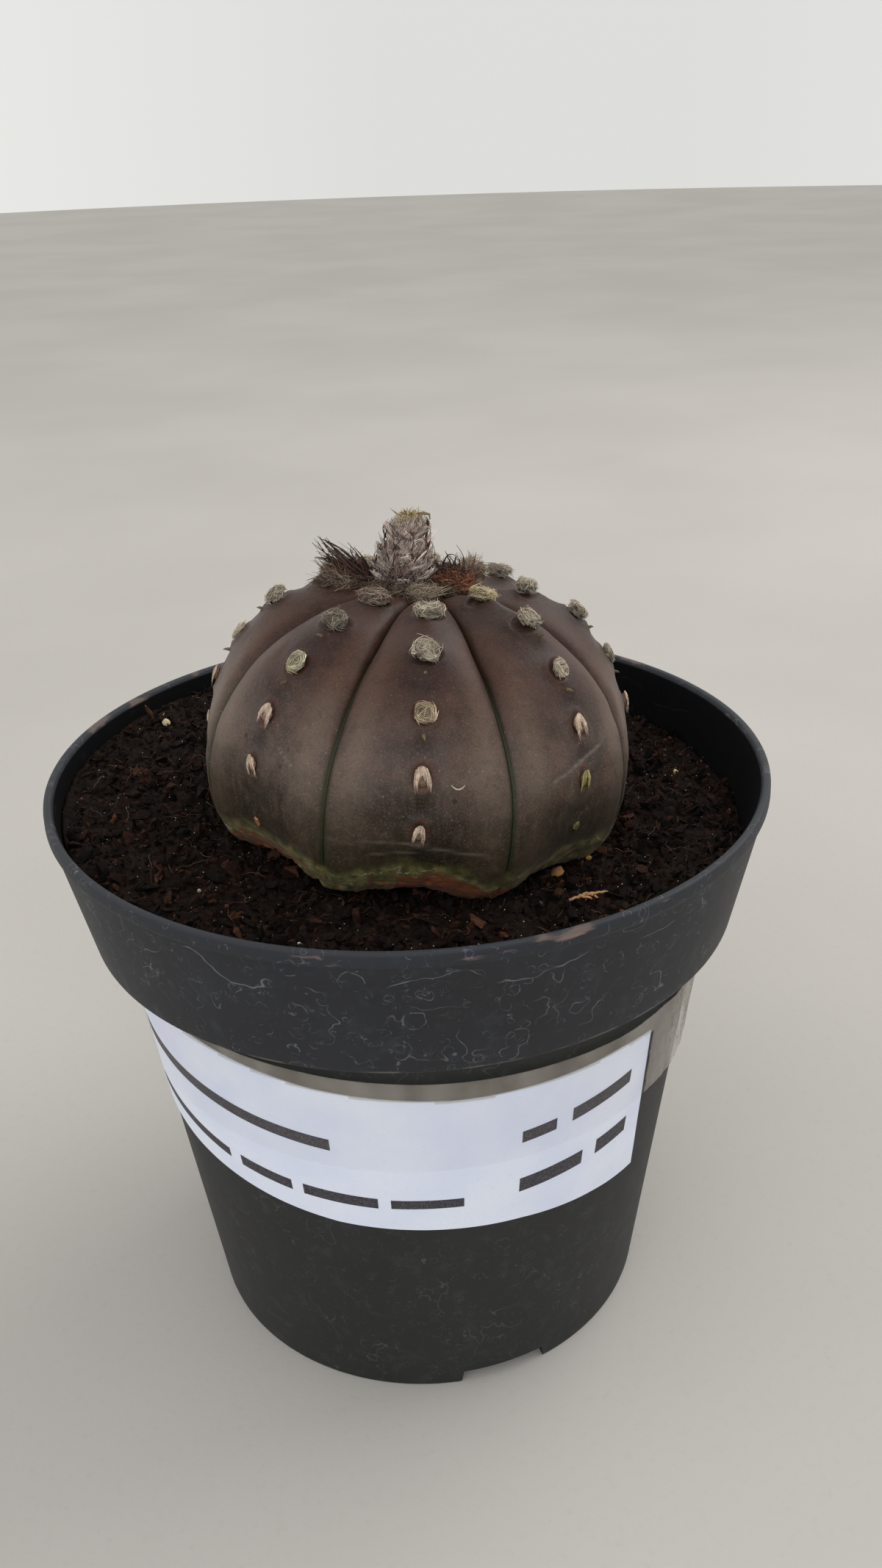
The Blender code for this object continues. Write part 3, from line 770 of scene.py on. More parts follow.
def make_stage():
    make_world()
    make_light("window", (0.75, 0.45, 1.05), (0, 0, 0.1), (1.0, 0.8), 6.0, (1.0, 0.99, 0.97))
    make_light("front_fill", (-0.25, -0.98, 0.7), (0, 0, 0.08), (1.0, 0.8), 3.3, (0.90, 0.95, 1.0))
    mesh = bpy.data.meshes.new("floor")
    shape = bmesh.new()
    bmesh.ops.create_circle(shape, cap_ends=True, segments=96, radius=4.0)
    shape.to_mesh(mesh)
    shape.free()
    mesh.materials.append(floor_look())
    placed("floor", mesh)


# Pot

def inner_radius(height):
    """The pot's inside radius at a height."""
    share = (height - BAND_FOOT) / BAND_HEIGHT
    in_band = BAND_FOOT_RADIUS + share * (RIM_RADIUS - LIP_PROUD - BAND_FOOT_RADIUS) - WALL
    return np.where(height > BAND_FOOT + WALL, in_band, BASE_RADIUS + BODY_TAPER * height - WALL)


CORNER_POINTS = 5
LONGEST_STEP = 3.5


def rounded(corners):
    """A line through corners of (radius, height, rounding), with no two points over LONGEST_STEP apart."""
    points = []
    for number, (radius, height, rounding) in enumerate(corners):
        here = np.array((radius, height))
        if rounding == 0:
            points.append(here)
            continue
        before, after = (np.array(corners[number + way][:2]) for way in (-1, 1))
        start, end = (here + unit(other - here) * rounding for other in (before, after))
        for t in np.linspace(0, 1, CORNER_POINTS):
            points.append((1 - t) ** 2 * start + 2 * t * (1 - t) * here + t * t * end)
    line = [points[0]]
    for point in points[1:]:
        pieces = int(np.ceil(np.linalg.norm(point - line[-1]) / LONGEST_STEP))
        line += list(np.linspace(line[-1], point, pieces + 1)[1:])
    return np.array(line)


def pot_cutter():
    """The drain slots and drain holes as one mesh."""
    shape = bmesh.new()
    for number in range(DRAIN_SLOTS):
        angle = FIRST_SLOT_ANGLE + tau * number / DRAIN_SLOTS
        slot = bmesh.ops.create_cube(shape, size=1.0)["verts"]
        bmesh.ops.scale(shape, vec=(5 * FOOT_WIDTH, SLOT_WIDTH, 2 * SLOT_HEIGHT), verts=slot)
        for vertex in slot:
            vertex.co.y *= 0.95 if vertex.co.z > 0 else 1.05
        place = Matrix.Rotation(angle, 4, "Z") @ Matrix.Translation((BASE_RADIUS, 0, 0))
        bmesh.ops.transform(shape, matrix=place, verts=slot)
    for number in range(DRAIN_HOLES):
        hole = bmesh.ops.create_cone(
            shape, cap_ends=True, segments=40, depth=5 * WALL, radius1=DRAIN_HOLE_RADIUS,
            radius2=DRAIN_HOLE_RADIUS,
        )["verts"]
        out = Vector((DRAIN_CIRCLE_RADIUS, 0, FLOOR_UNDERSIDE + WALL / 2))
        place = Matrix.Rotation(tau * number / DRAIN_HOLES, 4, "Z") @ Matrix.Translation(out)
        bmesh.ops.transform(shape, matrix=place, verts=hole)
    bmesh.ops.scale(shape, vec=(MM, MM, MM), verts=shape.verts)
    mesh = bpy.data.meshes.new("cutter")
    shape.to_mesh(mesh)
    shape.free()
    return placed("cutter", mesh)


POT_COLUMNS = 256


def make_pot():
    """The moulded pot, a little out of round, with its drain openings cut out."""
    floor = FLOOR_UNDERSIDE + WALL
    band_top = RIM_RADIUS - LIP_PROUD
    lip_foot = POT_HEIGHT - LIP_HEIGHT
    profile = rounded([
        (0.0, floor, 0), (float(inner_radius(floor)), floor, 1.2),
        (float(inner_radius(BAND_FOOT)), BAND_FOOT + 0.6 * WALL, 0.8),
        (BAND_FOOT_RADIUS - WALL - 0.2, BAND_FOOT + WALL, 0.6),
        (band_top - WALL, POT_HEIGHT - 0.9, 0.5), (band_top - WALL + 0.5, POT_HEIGHT, 0.35),
        (RIM_RADIUS - 0.1, POT_HEIGHT, 0.6), (RIM_RADIUS, lip_foot + 0.3, 0.5),
        (band_top, lip_foot - 0.2, 0.4),
        (BAND_FOOT_RADIUS, BAND_FOOT, 0.45), (BODY_TOP_RADIUS, BAND_FOOT - 0.1, 0.7),
        (BASE_RADIUS, 0.0, 0.5), (BASE_RADIUS - FOOT_WIDTH, 0.0, 0.5),
        (BASE_RADIUS - FOOT_WIDTH - 0.2, FLOOR_UNDERSIDE, 0.8), (0.0, FLOOR_UNDERSIDE, 0),
    ])
    angle = np.arange(POT_COLUMNS) * tau / POT_COLUMNS
    radius, height = profile[1:-1, 0][:, None], profile[1:-1, 1][:, None]
    points = polar(radius, angle, height)
    droop = 0.16 * np.sin(2 * angle + 0.8) + 0.07 * np.sin(5 * angle)
    points[..., :2] *= (1 + droop * (height / POT_HEIGHT) ** 2 / RIM_RADIUS)[..., None]
    poles = np.array(((0, 0, floor), (0, 0, FLOOR_UNDERSIDE)))
    points = np.concatenate((points.reshape(-1, 3), poles))
    faces = capped_faces(len(profile) - 2, POT_COLUMNS)
    pot = piece("pot_shell", points, faces, plastic_look(), ["pot"])
    cutter = pot_cutter()
    cut = pot.modifiers.new("drain", "BOOLEAN")
    cut.operation, cut.solver, cut.object = "DIFFERENCE", "EXACT", cutter
    bpy.context.view_layer.update()
    mesh = bpy.data.meshes.new_from_object(pot.evaluated_get(bpy.context.evaluated_depsgraph_get()))
    pot.modifiers.clear()
    pot.data = mesh
    bpy.data.objects.remove(cutter)
    mesh.shade_smooth()
    mesh.set_sharp_from_angle(angle=radians(38))


# Stem

def in_world(points):
    """From the stem's own axes to the object's."""
    return points @ STEM_TURN.T + STEM_CENTRE


def rib_table(values, turn):
    """Values evenly spaced round the stem, from the front rib on, read at a turn counted in ribs."""
    ring = np.append(values, values[0])
    return np.interp(np.mod(turn, RIBS), np.linspace(0, RIBS, len(ring)), ring)


def stem_reach(from_top, turn):
    """Distance from the stem's centre to its skin. Turn counts ribs from the front one."""
    place = np.degrees(from_top) / PROFILE_STEP
    across = 2 * np.abs(turn - np.round(turn))
    near_crown = bell(place, 1.5, 0.8)
    crest = smooth_between(CREST_REACH, place)
    crest = crest + rib_table(RIB_RISES, np.round(turn)) * near_crown * (1 - across)
    shoulder = smooth_between(SHOULDER_REACH, place)
    soft = 0.12
    ridge = (np.sqrt(across**2 + soft**2) - soft) / (np.sqrt(1 + soft**2) - soft)
    sharpness = np.interp(place, np.arange(9), RIDGE_SHARPNESS)
    side = sharpness * ridge + (1 - sharpness) * across**2
    groove = 0.60 * np.exp((across - 1) / 0.15) + 0.55 * np.exp((across - 1) / 0.045)
    return crest + (shoulder - crest) * side - np.interp(place, np.arange(9), GROOVE_DEPTH) * groove


def stem_point(from_top, turn):
    """A point of the skin in the stem's own axes."""
    low = step_up(np.degrees(from_top), *DRIFT_SPAN)
    drift = rib_table(DRIFT_HIGH, turn) * (1 - low) + rib_table(DRIFT_LOW, turn) * low
    angle = FRONT_RIB_ANGLE + turn * RIB_ANGLE + np.radians(drift)
    reach = stem_reach(from_top, turn)
    return polar(reach * np.sin(from_top), angle, reach * np.cos(from_top))


def areole_list():
    """Each areole as rib, row, place, size, and its axes: across, up the rib, and out of the skin."""
    found = []
    for rib, (first, spacing, count) in enumerate(RIB_PADS):
        for row in range(count):
            degrees = first + spacing * row - PAD_CROWDING * row**2
            from_top = radians(LOW_PADS.get((rib, row), degrees))
            here, lower, beside = (
                stem_point(np.float64(from_top + down), np.float64(rib + round_))
                for down, round_ in ((0, 0), (0.06, 0), (0, 0.05))
            )
            up = unit(here - lower)
            out = unit(np.cross(up, here - beside))
            out = out if out @ here > 0 else -out
            across = unit(np.cross(up, out))
            found.append(dict(
                rib=rib, row=row, place=here, axes=np.stack((across, np.cross(out, across), out)),
                width=AREOLE_WIDTHS[row], length=AREOLE_LENGTHS[row], height=AREOLE_HEIGHTS[row],
            ))
    return found


COLUMNS_PER_RIB = 64
ROW_DENTS = (0.5, 0.8, 1.0, 0.9, 0.6, 0.1)  # how deep the hollow below each row's areoles is
RINGED_ROWS = (2, 3, 4)  # areoles with a reddish ring


def make_skin(areoles):
    """The ribbed globe, with a swelling round each areole, a hollow below it, and a corky foot."""
    columns = COLUMNS_PER_RIB * RIBS
    rings = np.radians(np.concatenate((np.linspace(2.0, 122.0, 166), np.linspace(124.5, 178.0, 20))))
    turn = np.arange(columns) / COLUMNS_PER_RIB
    across = 2 * (turn - np.round(turn))
    turn = np.round(turn) + np.sign(across) * np.abs(across) * (1.32 - 0.32 * np.abs(across)) / 2
    from_top, turn = np.meshgrid(rings, turn, indexing="ij")
    points = stem_point(from_top, turn)
    out = unit(points * (1, 1, 0.9))
    across = 2 * np.abs(turn - np.round(turn))
    relief = 0.16 * noise(points, 7.0, 1) + 0.06 * noise(points, 2.4, 2)
    relief += 0.10 * noise(points * (0.25, 0.25, 1.0), 3.0, 3) * step_up(from_top, 0.9, 1.5)
    hollow, halo = np.zeros(points.shape[:2]), np.zeros(points.shape[:2])
    for areole in areoles:
        x, y, _ = np.moveaxis((points - areole["place"]) @ areole["axes"].T, -1, 0)
        near = np.linalg.norm(points - areole["place"], axis=-1) < 16
        share = np.hypot(x / areole["width"], y / areole["length"]) * 2
        size = areole["height"] / 3
        relief += near * 0.5 * size * np.exp(-((share / 2.2) ** 2))
        relief -= near * 0.9 * size * np.exp(-((share / 0.95) ** 4))
        relief += near * 0.28 * bell(share, 1.25, 0.22)
        below = y + areole["length"] / 2
        chin = np.exp(-((x / 1.9) ** 2) - ((below + 1.5) / 1.3) ** 2)
        dent = np.exp(-((x / 3.0) ** 2) - ((below + 4.4) / 2.4) ** 2)
        strength = ROW_DENTS[areole["row"]]
        relief += near * strength * (0.35 * chin - 0.62 * dent)
        if areole["row"] in RINGED_ROWS:
            halo = np.maximum(halo, near * bell(share, 1.12, 0.16))
        # Dark round and below each areole: partly darker skin, partly painted shade in the dent.
        hollow = np.maximum(hollow, near * strength * (0.9 * dent + 0.5 * bell(share, 1.3, 0.35)))
    lean = 2.6 * noise(points, 9.0, 5) + 1.1 * noise(points, 3.0, 6)
    lowness = np.degrees(from_top) + lean
    foot = np.clip((lowness - 103.0) / 20.0, 0, 1)
    corky = step_up(lowness, 109.0, 114.0)
    relief += corky * (0.9 * (ridged(points * (0.5, 0.5, 1.3), 2.6, 7) - 0.5) + 0.35 * noise(points, 1.1, 8))
    relief += 0.12 * bell(lowness, 109.5, 1.2)
    points = points + out * relief[..., None]
    world = in_world(points)
    angle = np.degrees(np.arctan2(points[..., 1], points[..., 0]))
    degrees = np.degrees(from_top)
    # Paler bands beside the grooves: partly paler skin, partly painted sheen where the skin turns away.
    beside = bell(across, 0.72, 0.2) * step_up(degrees, 30, 60) * (1 - 0.7 * step_up(degrees, 72, 98))
    marks = dict(
        groove=np.exp((across - 1) / 0.048), crown=step_up(-degrees, -86, -52), hollow=np.clip(hollow, 0, 1),
        halo=halo, foot=foot, rust=0.25 + 0.75 * bell(angle, -82, 17) + 0.55 * bell(angle, -140, 16),
        scratch=scratches(points, degrees, angle), olive=step_up(degrees, 78, 104), groove_side_tone_and_sheen=beside,
    )
    poles = in_world(np.array(((0, 0, 29.6), (0, 0, -25.3))))
    faces = capped_faces(len(rings), columns)
    marks = {name: np.append(values.ravel(), (0, 0)) for name, values in marks.items()}
    points = np.concatenate((world.reshape(-1, 3), poles))
    piece("cactus_skin", points, faces, skin_look(), ["cactus_body"], marks=marks)


SCRATCHES = (  # start and end angle, start and end degrees from the top, width
    (-113, -89, 97.2, 97.6, 0.16), (-92, -73, 98.3, 100.3, 0.2), (-57, -36, 83.0, 77.0, 0.22),
    (-104, -91, 101.5, 100.2, 0.16), (-130, -124, 79.0, 82.5, 0.14),
)


def scratches(points, from_top, angle):
    """The pale healed scratches: 1 along them, 0 elsewhere."""
    found = np.zeros(from_top.shape)
    wave = 0.5 * noise(points, 4.0, 11)
    for start, end, high, low, width in SCRATCHES:
        share = (angle - start) / (end - start)
        distance = np.abs(from_top - (high + (low - high) * share) + wave)
        inside = step_up(share, -0.05, 0.05) * step_up(share, 1.05, 0.9)
        found = np.maximum(found, inside * np.exp(-((distance / (width * 1.6)) ** 2)))
    return found


# Woolly pads

WOOL, CREAM = rgb(200, 188, 170), rgb(228, 206, 188)
YELLOW_WOOL, GREEN = rgb(206, 192, 158), rgb(182, 172, 114)
ROW_STRANDS = (430, 430, 300, 230, 190, 60)
TUFT_STYLES = {  # by row; the rows left out are hooded
    0: dict(swirl=0.3, fuzz=0.42, thick=0.052, boxy=0.72),
    1: dict(swirl=0.2, fuzz=0.34, thick=0.052, boxy=0.72),
    2: dict(swirl=1.8, comb=0.1, fuzz=0.22, thick=0.055, boxy=0.85),
    5: dict(comb=1.4, fuzz=0.25, thick=0.05, boxy=0.85),
}
ROW_COLOURS = (0.94 * WOOL, 0.92 * WOOL, 1.02 * WOOL, CREAM, CREAM, 0.7 * GREEN)
ROW_SHARES = (  # of the areole's width, length and height
    (0.80, 0.86, 1.0), (0.80, 0.86, 1.0), (0.76, 0.84, 0.9), (0.92, 0.80, 1.0), (0.90, 0.82, 1.0), (1, 1, 1),
)
BIG_PAD, BIG_PAD_SIZE = (7, 0), 1.25
ODD_ONES = {  # (rib, row): colour
    (7, 0): rgb(160, 142, 128), (6, 0): rgb(130, 114, 102), (7, 1): 0.55 * WOOL,
    (1, 0): YELLOW_WOOL, (1, 4): GREEN, (7, 2): rgb(192, 186, 160), (0, 2): rgb(186, 168, 144),
    (7, 5): rgb(190, 140, 104),
}


def tuft(place, axes, halves, count, rng, colour, fuzz, thick, boxy, swirl=0.0, comb=0.0, core_detail=3):
    """Fibres lying on a pad of this half width, length and height, and lifting off it at their tips.
    Swirl winds them round the pad, comb lays them down the rib, and boxy below 1 squares the pad."""
    start = unit(rng.normal(size=(count, 3)) * (1, 1, 0.8) + (0, 0, 0.55))
    start[:, 2] = np.abs(start[:, 2]) - 0.1
    heading = rng.normal(size=(count, 3)) * 0.7
    heading += swirl * np.cross((0, 0, 1.0), start) + comb * np.array((0, -1.0, 0.1)) + (0, 0, 0.35)
    heading = unit(heading - start * np.sum(heading * start, axis=-1, keepdims=True))
    steps = np.linspace(0, 1, 4)[None, :, None]
    reach = rng.uniform(0.25, 0.85, (count, 1, 1)) * (1 + 0.8 * abs(swirl) + 0.6 * abs(comb))
    paths = np.cos(steps * reach) * start[:, None] + np.sin(steps * reach) * heading[:, None]
    paths = np.sign(paths) * np.abs(unit(paths)) ** boxy
    lift = rng.uniform(0.82, 1.04, (count, 1, 1)) + fuzz * rng.uniform(0, 1, (count, 1, 1)) ** 3 * steps**2
    seed = rng.uniform(0, 50, 3)
    clumped = 1 + 0.26 * noise(start * 2.6 + seed, 1.0) + 0.20 * noise(start * 6.0 + seed, 1.0)
    paths = paths * lift * clumped[:, None, None] + 0.035 * rng.normal(size=(count, 4, 3))
    paths = paths * np.array(halves)
    radii = thick * rng.uniform(0.6, 1.4, (count, 1)) * np.array((0.8, 1.1, 0.9, 0.3))
    points, groups = strands(place + paths @ axes, radii)
    # Strands on high clumps are painted lighter and those in the dips darker: painted light and shade.
    shade = np.clip(0.80 + 2.6 * (clumped[:, None] - 1), 0.22, 1.45)
    each = len(points) // count
    colours = np.repeat(tinted(shade * np.tile(colour, (count, 1)), rng, 0.45), each, axis=0)
    core, core_faces = ball(core_detail)
    bump = 0.92 + 0.22 * noise(core * 2.6 + seed, 1.0) + 0.16 * noise(core * 6.0 + seed, 1.0)
    bump += 0.06 * noise(core * 16.0 + seed, 1.0)
    # The core under the strands is painted darker, most in its dips: painted shade.
    core_colours = np.asarray(colour) * np.clip(0.45 + 2.4 * (bump[:, None] - 0.92), 0.18, 0.8)
    core = np.sign(core) * np.abs(core) ** boxy * bump[:, None] * np.array(halves) * 0.96
    return joined([(points, groups, colours), (place + core @ axes, [core_faces], core_colours)])


def hood(place, axes, halves, count, rng, colour):
    """Wool combed from an areole's top down both its sides, with loose tails and a dark open middle."""
    side = rng.uniform(-1.0, 1.0, (count, 1))
    steps = np.linspace(0, 1, 6)[None, :]
    reach = rng.uniform(0.35, 1.0, (count, 1)) * np.clip(0.30 + 1.1 * np.abs(side), 0.3, 1.0)
    down = steps * reach
    across = side * (0.72 + 0.36 * np.sin(np.minimum(down * 2.6, pi / 2))) - 0.10 * side * down
    along = 0.92 * np.sqrt(1 - (0.8 * side) ** 2) - 2.1 * down + rng.normal(0, 0.08, (count, 1))
    rise = 0.25 + 0.85 * np.sin(np.minimum(0.35 + down * 3.2, 2.7)) * np.sqrt(1 - 0.7 * side**2)
    rise = rise * rng.uniform(0.75, 1.12, (count, 1))
    stray = 0.05 * rng.normal(size=(count, 6, 3)) * steps[..., None]
    paths = stacked(across, along, rise) + stray
    radii = 0.072 * rng.uniform(0.6, 1.35, (count, 1)) * np.array((0.7, 1.0, 1.1, 1.0, 0.8, 0.3))
    points, groups = strands(place + (paths * np.array(halves)) @ axes, radii)
    each = len(points) // count
    colours = np.repeat(tinted(np.tile(colour, (count, 1)), rng, 0.45), each, axis=0)
    core, core_faces = ball(3)
    swell = 1 + 0.15 * noise(core * 5.0 + reach[0], 1.0)
    core = core * swell[:, None] * np.array(halves) * (0.90, 0.88, 0.66)
    core_colours = np.tile(np.asarray(colour) * (0.34, 0.27, 0.22), (len(core), 1))
    return joined([(points, groups, colours), (place + core @ axes, [core_faces], core_colours)])


def make_areoles(areoles, look):
    """The woolly pads, in one piece near the crown and one below."""
    rng = np.random.default_rng(21)
    upper, lower = [], []
    for areole in areoles:
        row = areole["row"]
        colour = ODD_ONES.get((areole["rib"], row), ROW_COLOURS[row])
        halves = np.array((areole["width"], areole["length"], areole["height"])) / 2
        halves = halves * ROW_SHARES[row] * rng.uniform(0.92, 1.08, 3)
        halves = halves * (BIG_PAD_SIZE if (areole["rib"], row) == BIG_PAD else 1.0)
        sunk = areole["place"] + areole["axes"][2] * halves[2] * 0.75
        axes = turned_axes(areole["axes"], rng.normal(0, 0.18))
        given = in_world(sunk), axes @ STEM_TURN.T, halves, ROW_STRANDS[row], rng, colour
        made = tuft(*given, **TUFT_STYLES[row]) if row in TUFT_STYLES else hood(*given)
        (upper if row < 2 else lower).append(made)
    nodes = sorted(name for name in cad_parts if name.startswith("areole_"))
    near_crown = [name for name in nodes if name[-1] in "01"]
    rest = [name for name in nodes if name not in near_crown]
    both = ("areole_pads_upper", upper, near_crown), ("areole_pads_lower", lower, rest)
    for name, tufts, replaced in both:
        points, faces, colours = joined(tufts)
        piece(name, points, faces, look, replaced, colours=colours)


def turned_axes(axes, angle):
    """Axes turned about the outward one."""
    across, up, out = axes
    return np.stack((cos(angle) * across + sin(angle) * up, cos(angle) * up - sin(angle) * across, out))


TIP_LENGTHS = {1: 1.3, 2: 1.6}  # by row; the other rows have none


def make_spine_tips(areoles, look):
    """The small horny tips below the second and third areoles, and one pale curved scar on the front rib."""
    rng = np.random.default_rng(22)
    paths, colours = [], []
    for areole in areoles:
        if areole["row"] not in TIP_LENGTHS:
            continue
        across, up, out = areole["axes"]
        drop = areole["length"] / 2 + rng.uniform(1.6, 2.4)
        root = areole["place"] - up * drop
        long = TIP_LENGTHS[areole["row"]] * rng.uniform(0.8, 1.15)
        tip = root + out * long * 0.75 - up * long * 0.6 + across * rng.normal(0, 0.2)
        inner, middle = root - out * 0.6 + up * 0.5, (root + tip) / 2 + out * 0.2
        paths.append(np.stack((inner, root + out * 0.05, middle, tip)))
        colours.append(rgb(112, 94, 70) * rng.uniform(0.7, 1.1))
    radii = np.array((0.60, 0.42, 0.24, 0.06))
    points, groups = strands(in_world(np.array(paths)), radii, sides=8)
    tips = points, groups, np.repeat(np.array(colours), len(points) // len(paths), axis=0)
    bend = np.linspace(0, 1, 7)
    scar = stem_point(np.radians(82.2 - 1.1 * (2 * bend - 1) ** 2), 0.155 + 0.075 * bend)
    scar = scar + unit(scar) * 0.12
    scar_points, scar_groups = strands(in_world(scar)[None], 0.16 * np.sin(0.5 + 2.2 * bend), sides=6)
    scar = scar_points, scar_groups, np.tile(rgb(206, 186, 166), (len(scar_points), 1))
    points, groups, colours = joined([tips, scar])
    piece("spine_tips", points, groups, look, colours=colours)


# Crown

FRUIT_FOOT = np.array((0.6, -2.0, 167.0))
FRUIT_HEIGHT = 14.6
FRUIT_RADII = (2.8, 3.5, 4.0, 4.2, 4.1, 3.7, 3.1, 2.7, 2.5, 2.0)
FRUIT_LEAN = np.array((2.0, 0.0))


def fruit_point(share, angle, lift=0.0):
    """A point on the fruit's side: share runs from its foot to its top."""
    radius = smooth_between(FRUIT_RADII, share * (len(FRUIT_RADII) - 1)) + lift
    place = polar(radius, angle, share * FRUIT_HEIGHT) + FRUIT_FOOT
    place[..., :2] += FRUIT_LEAN * (np.clip(share, 0, 2) ** 2.2)[..., None]
    return place


def curved(roots, tips, bow, rng, length=6, wave=0.0):
    """Paths from roots to tips that bow sideways, and waver."""
    steps = np.linspace(0, 1, length)[None, :, None]
    middle = (roots + tips) / 2 + bow
    paths = (1 - steps) ** 2 * roots[:, None] + 2 * steps * (1 - steps) * middle[:, None]
    paths = paths + steps**2 * tips[:, None]
    return paths + wave * rng.normal(size=paths.shape) * np.minimum(steps * 3, 1)


def coloured(paths, radii, colour, rng, spread):
    """Strands along the paths, each of its own shade of the colour."""
    points, groups = strands(paths, radii)
    shades = tinted(np.tile(colour, (len(paths), 1)), rng, spread)
    return points, groups, np.repeat(shades, len(points) // len(paths), axis=0)


def scale_height(share, angle):
    """How far the fruit's overlapping scales stand out: each is widest at its foot and points upwards."""
    row = share * 3.6
    place = angle / tau * 7 + 0.5 * np.floor(row)
    within, across = row - np.floor(row), 2 * np.abs(place - np.round(place))
    return np.clip(1.15 - within * 0.75 - across**2 * (0.4 + within), 0, 1)


def make_fruit(look):
    """A woolly column of overlapping tufts with a ragged dried remnant on top."""
    rng = np.random.default_rng(31)
    rows, columns = 72, 108
    round_ = np.arange(columns) * tau / columns
    share, angle = np.meshgrid(np.linspace(0, 1, rows), round_, indexing="ij")
    scales = scale_height(share, angle)
    rough = noise(polar(5.5, angle, share * 14), 1.5, 3)
    core = fruit_point(share, angle, 0.75 * scales - 0.45 + 0.35 * rough)
    # Between the scales the core's colour falls to a fifth: painted shade in the gaps.
    own = rgb(158, 138, 130) * (0.20 + 0.80 * scales.reshape(-1, 1))
    own = np.concatenate((own, np.tile(rgb(90, 76, 60), (2, 1))))
    poles = fruit_point(np.array((0.0, 1.0)), np.zeros(2), np.array((-4.1, -2.5)))
    groups = capped_faces(rows, columns, downwards=False)
    core = np.concatenate((core.reshape(-1, 3), poles)), groups, own
    count = 1500
    foot, round_ = rng.uniform(-0.02, 0.95, count), rng.uniform(0, tau, count)
    steps = np.linspace(0, 1, 5)[None, :]
    rise = rng.uniform(0.06, 0.22, (count, 1)) * steps
    swing = round_[:, None] + rng.normal(0, 0.28, (count, 1)) * steps
    swing = swing + 0.07 * np.sin(9 * steps + foot[:, None] * 40)
    high = np.clip(foot[:, None] + rise, 0, 1.04)
    stray = rng.uniform(0, 1, (count, 1)) ** 5 * 1.0 * steps**2
    lift = 0.75 * scale_height(high, swing) - 0.42 + rng.uniform(0.0, 0.3, (count, 1)) + stray
    wool = coloured(fruit_point(high, swing, lift), 0.055 * np.array((0.7, 1.1, 1.0, 0.8, 0.3)),
                    rgb(212, 194, 186), rng, 0.45)
    points, groups, colours = joined([core, wool, *fruit_scales(rng), *remnant(rng)])
    piece("woolly_fruit_body", points, groups, look, ["woolly_fruit"], colours=colours)


FRUIT_SCALE_ROWS = (0.03, 0.17, 0.32, 0.47, 0.62, 0.78)
SCALES_IN_ROW = 6
SCALE_STYLE = dict(comb=-1.3, fuzz=0.6, thick=0.050, boxy=0.95, core_detail=2)


def fruit_scales(rng):
    """The overlapping woolly scales, each a tuft combed upwards and standing a little off the fruit."""
    made = []
    for row, share in enumerate(FRUIT_SCALE_ROWS):
        for number in range(SCALES_IN_ROW):
            angle = (number + 0.5 * (row % 2)) * tau / SCALES_IN_ROW + rng.normal(0, 0.10)
            share_here = np.float64(share + rng.normal(0, 0.015))
            place = fruit_point(share_here, np.float64(angle), 0.15)
            up = unit(fruit_point(share_here + 0.05, np.float64(angle), 0.9) - place)
            across = unit(np.cross(polar(1.0, angle, 0.0), up)) * -1
            axes = turned_axes(np.stack((across, up, np.cross(across, up))), rng.normal(0, 0.25))
            size = (1.05 - 0.30 * share) * rng.uniform(0.85, 1.15)
            halves = np.array((1.45, 2.5, 0.55)) * size
            colour = rgb(228, 212, 204) * rng.uniform(0.75, 1.1)
            made.append(tuft(place, axes, halves, 130, rng, colour, **SCALE_STYLE))
    return made


def remnant(rng):
    """The dried flower's stump on the fruit's top, and a hooked scrap at its right."""
    count = 260
    share, angle = rng.uniform(0.84, 0.99, count), rng.uniform(0, tau, count)
    foot = fruit_point(share, angle, -rng.uniform(0, 2.2, count))
    aside, ahead = rng.normal(0, 1.0, count), rng.normal(0, 1.0, count)
    tips = foot + stacked(aside, ahead, rng.uniform(0.2, 1.9, count))
    paths = curved(foot, tips, rng.normal(0, 0.5, (count, 3)), rng, 5)
    stump = coloured(paths, 0.11 * np.array((1, 1.2, 1, 0.8, 0.3)), rgb(176, 160, 116), rng, 0.5)
    top = fruit_point(np.array((1.0,)), np.array((0.0,)), -1.2)
    hook = top + np.array((
        (-1.4, -0.8, -0.6), (0.2, -0.8, 0.3), (1.8, -0.6, 0.6), (2.8, -0.5, 0.3), (2.9, -0.5, -0.7),
    ))
    scrap = coloured(hook[None], np.array((0.46, 0.42, 0.38, 0.30, 0.12)), rgb(132, 116, 84), rng, 0.1)
    return [stump, scrap]


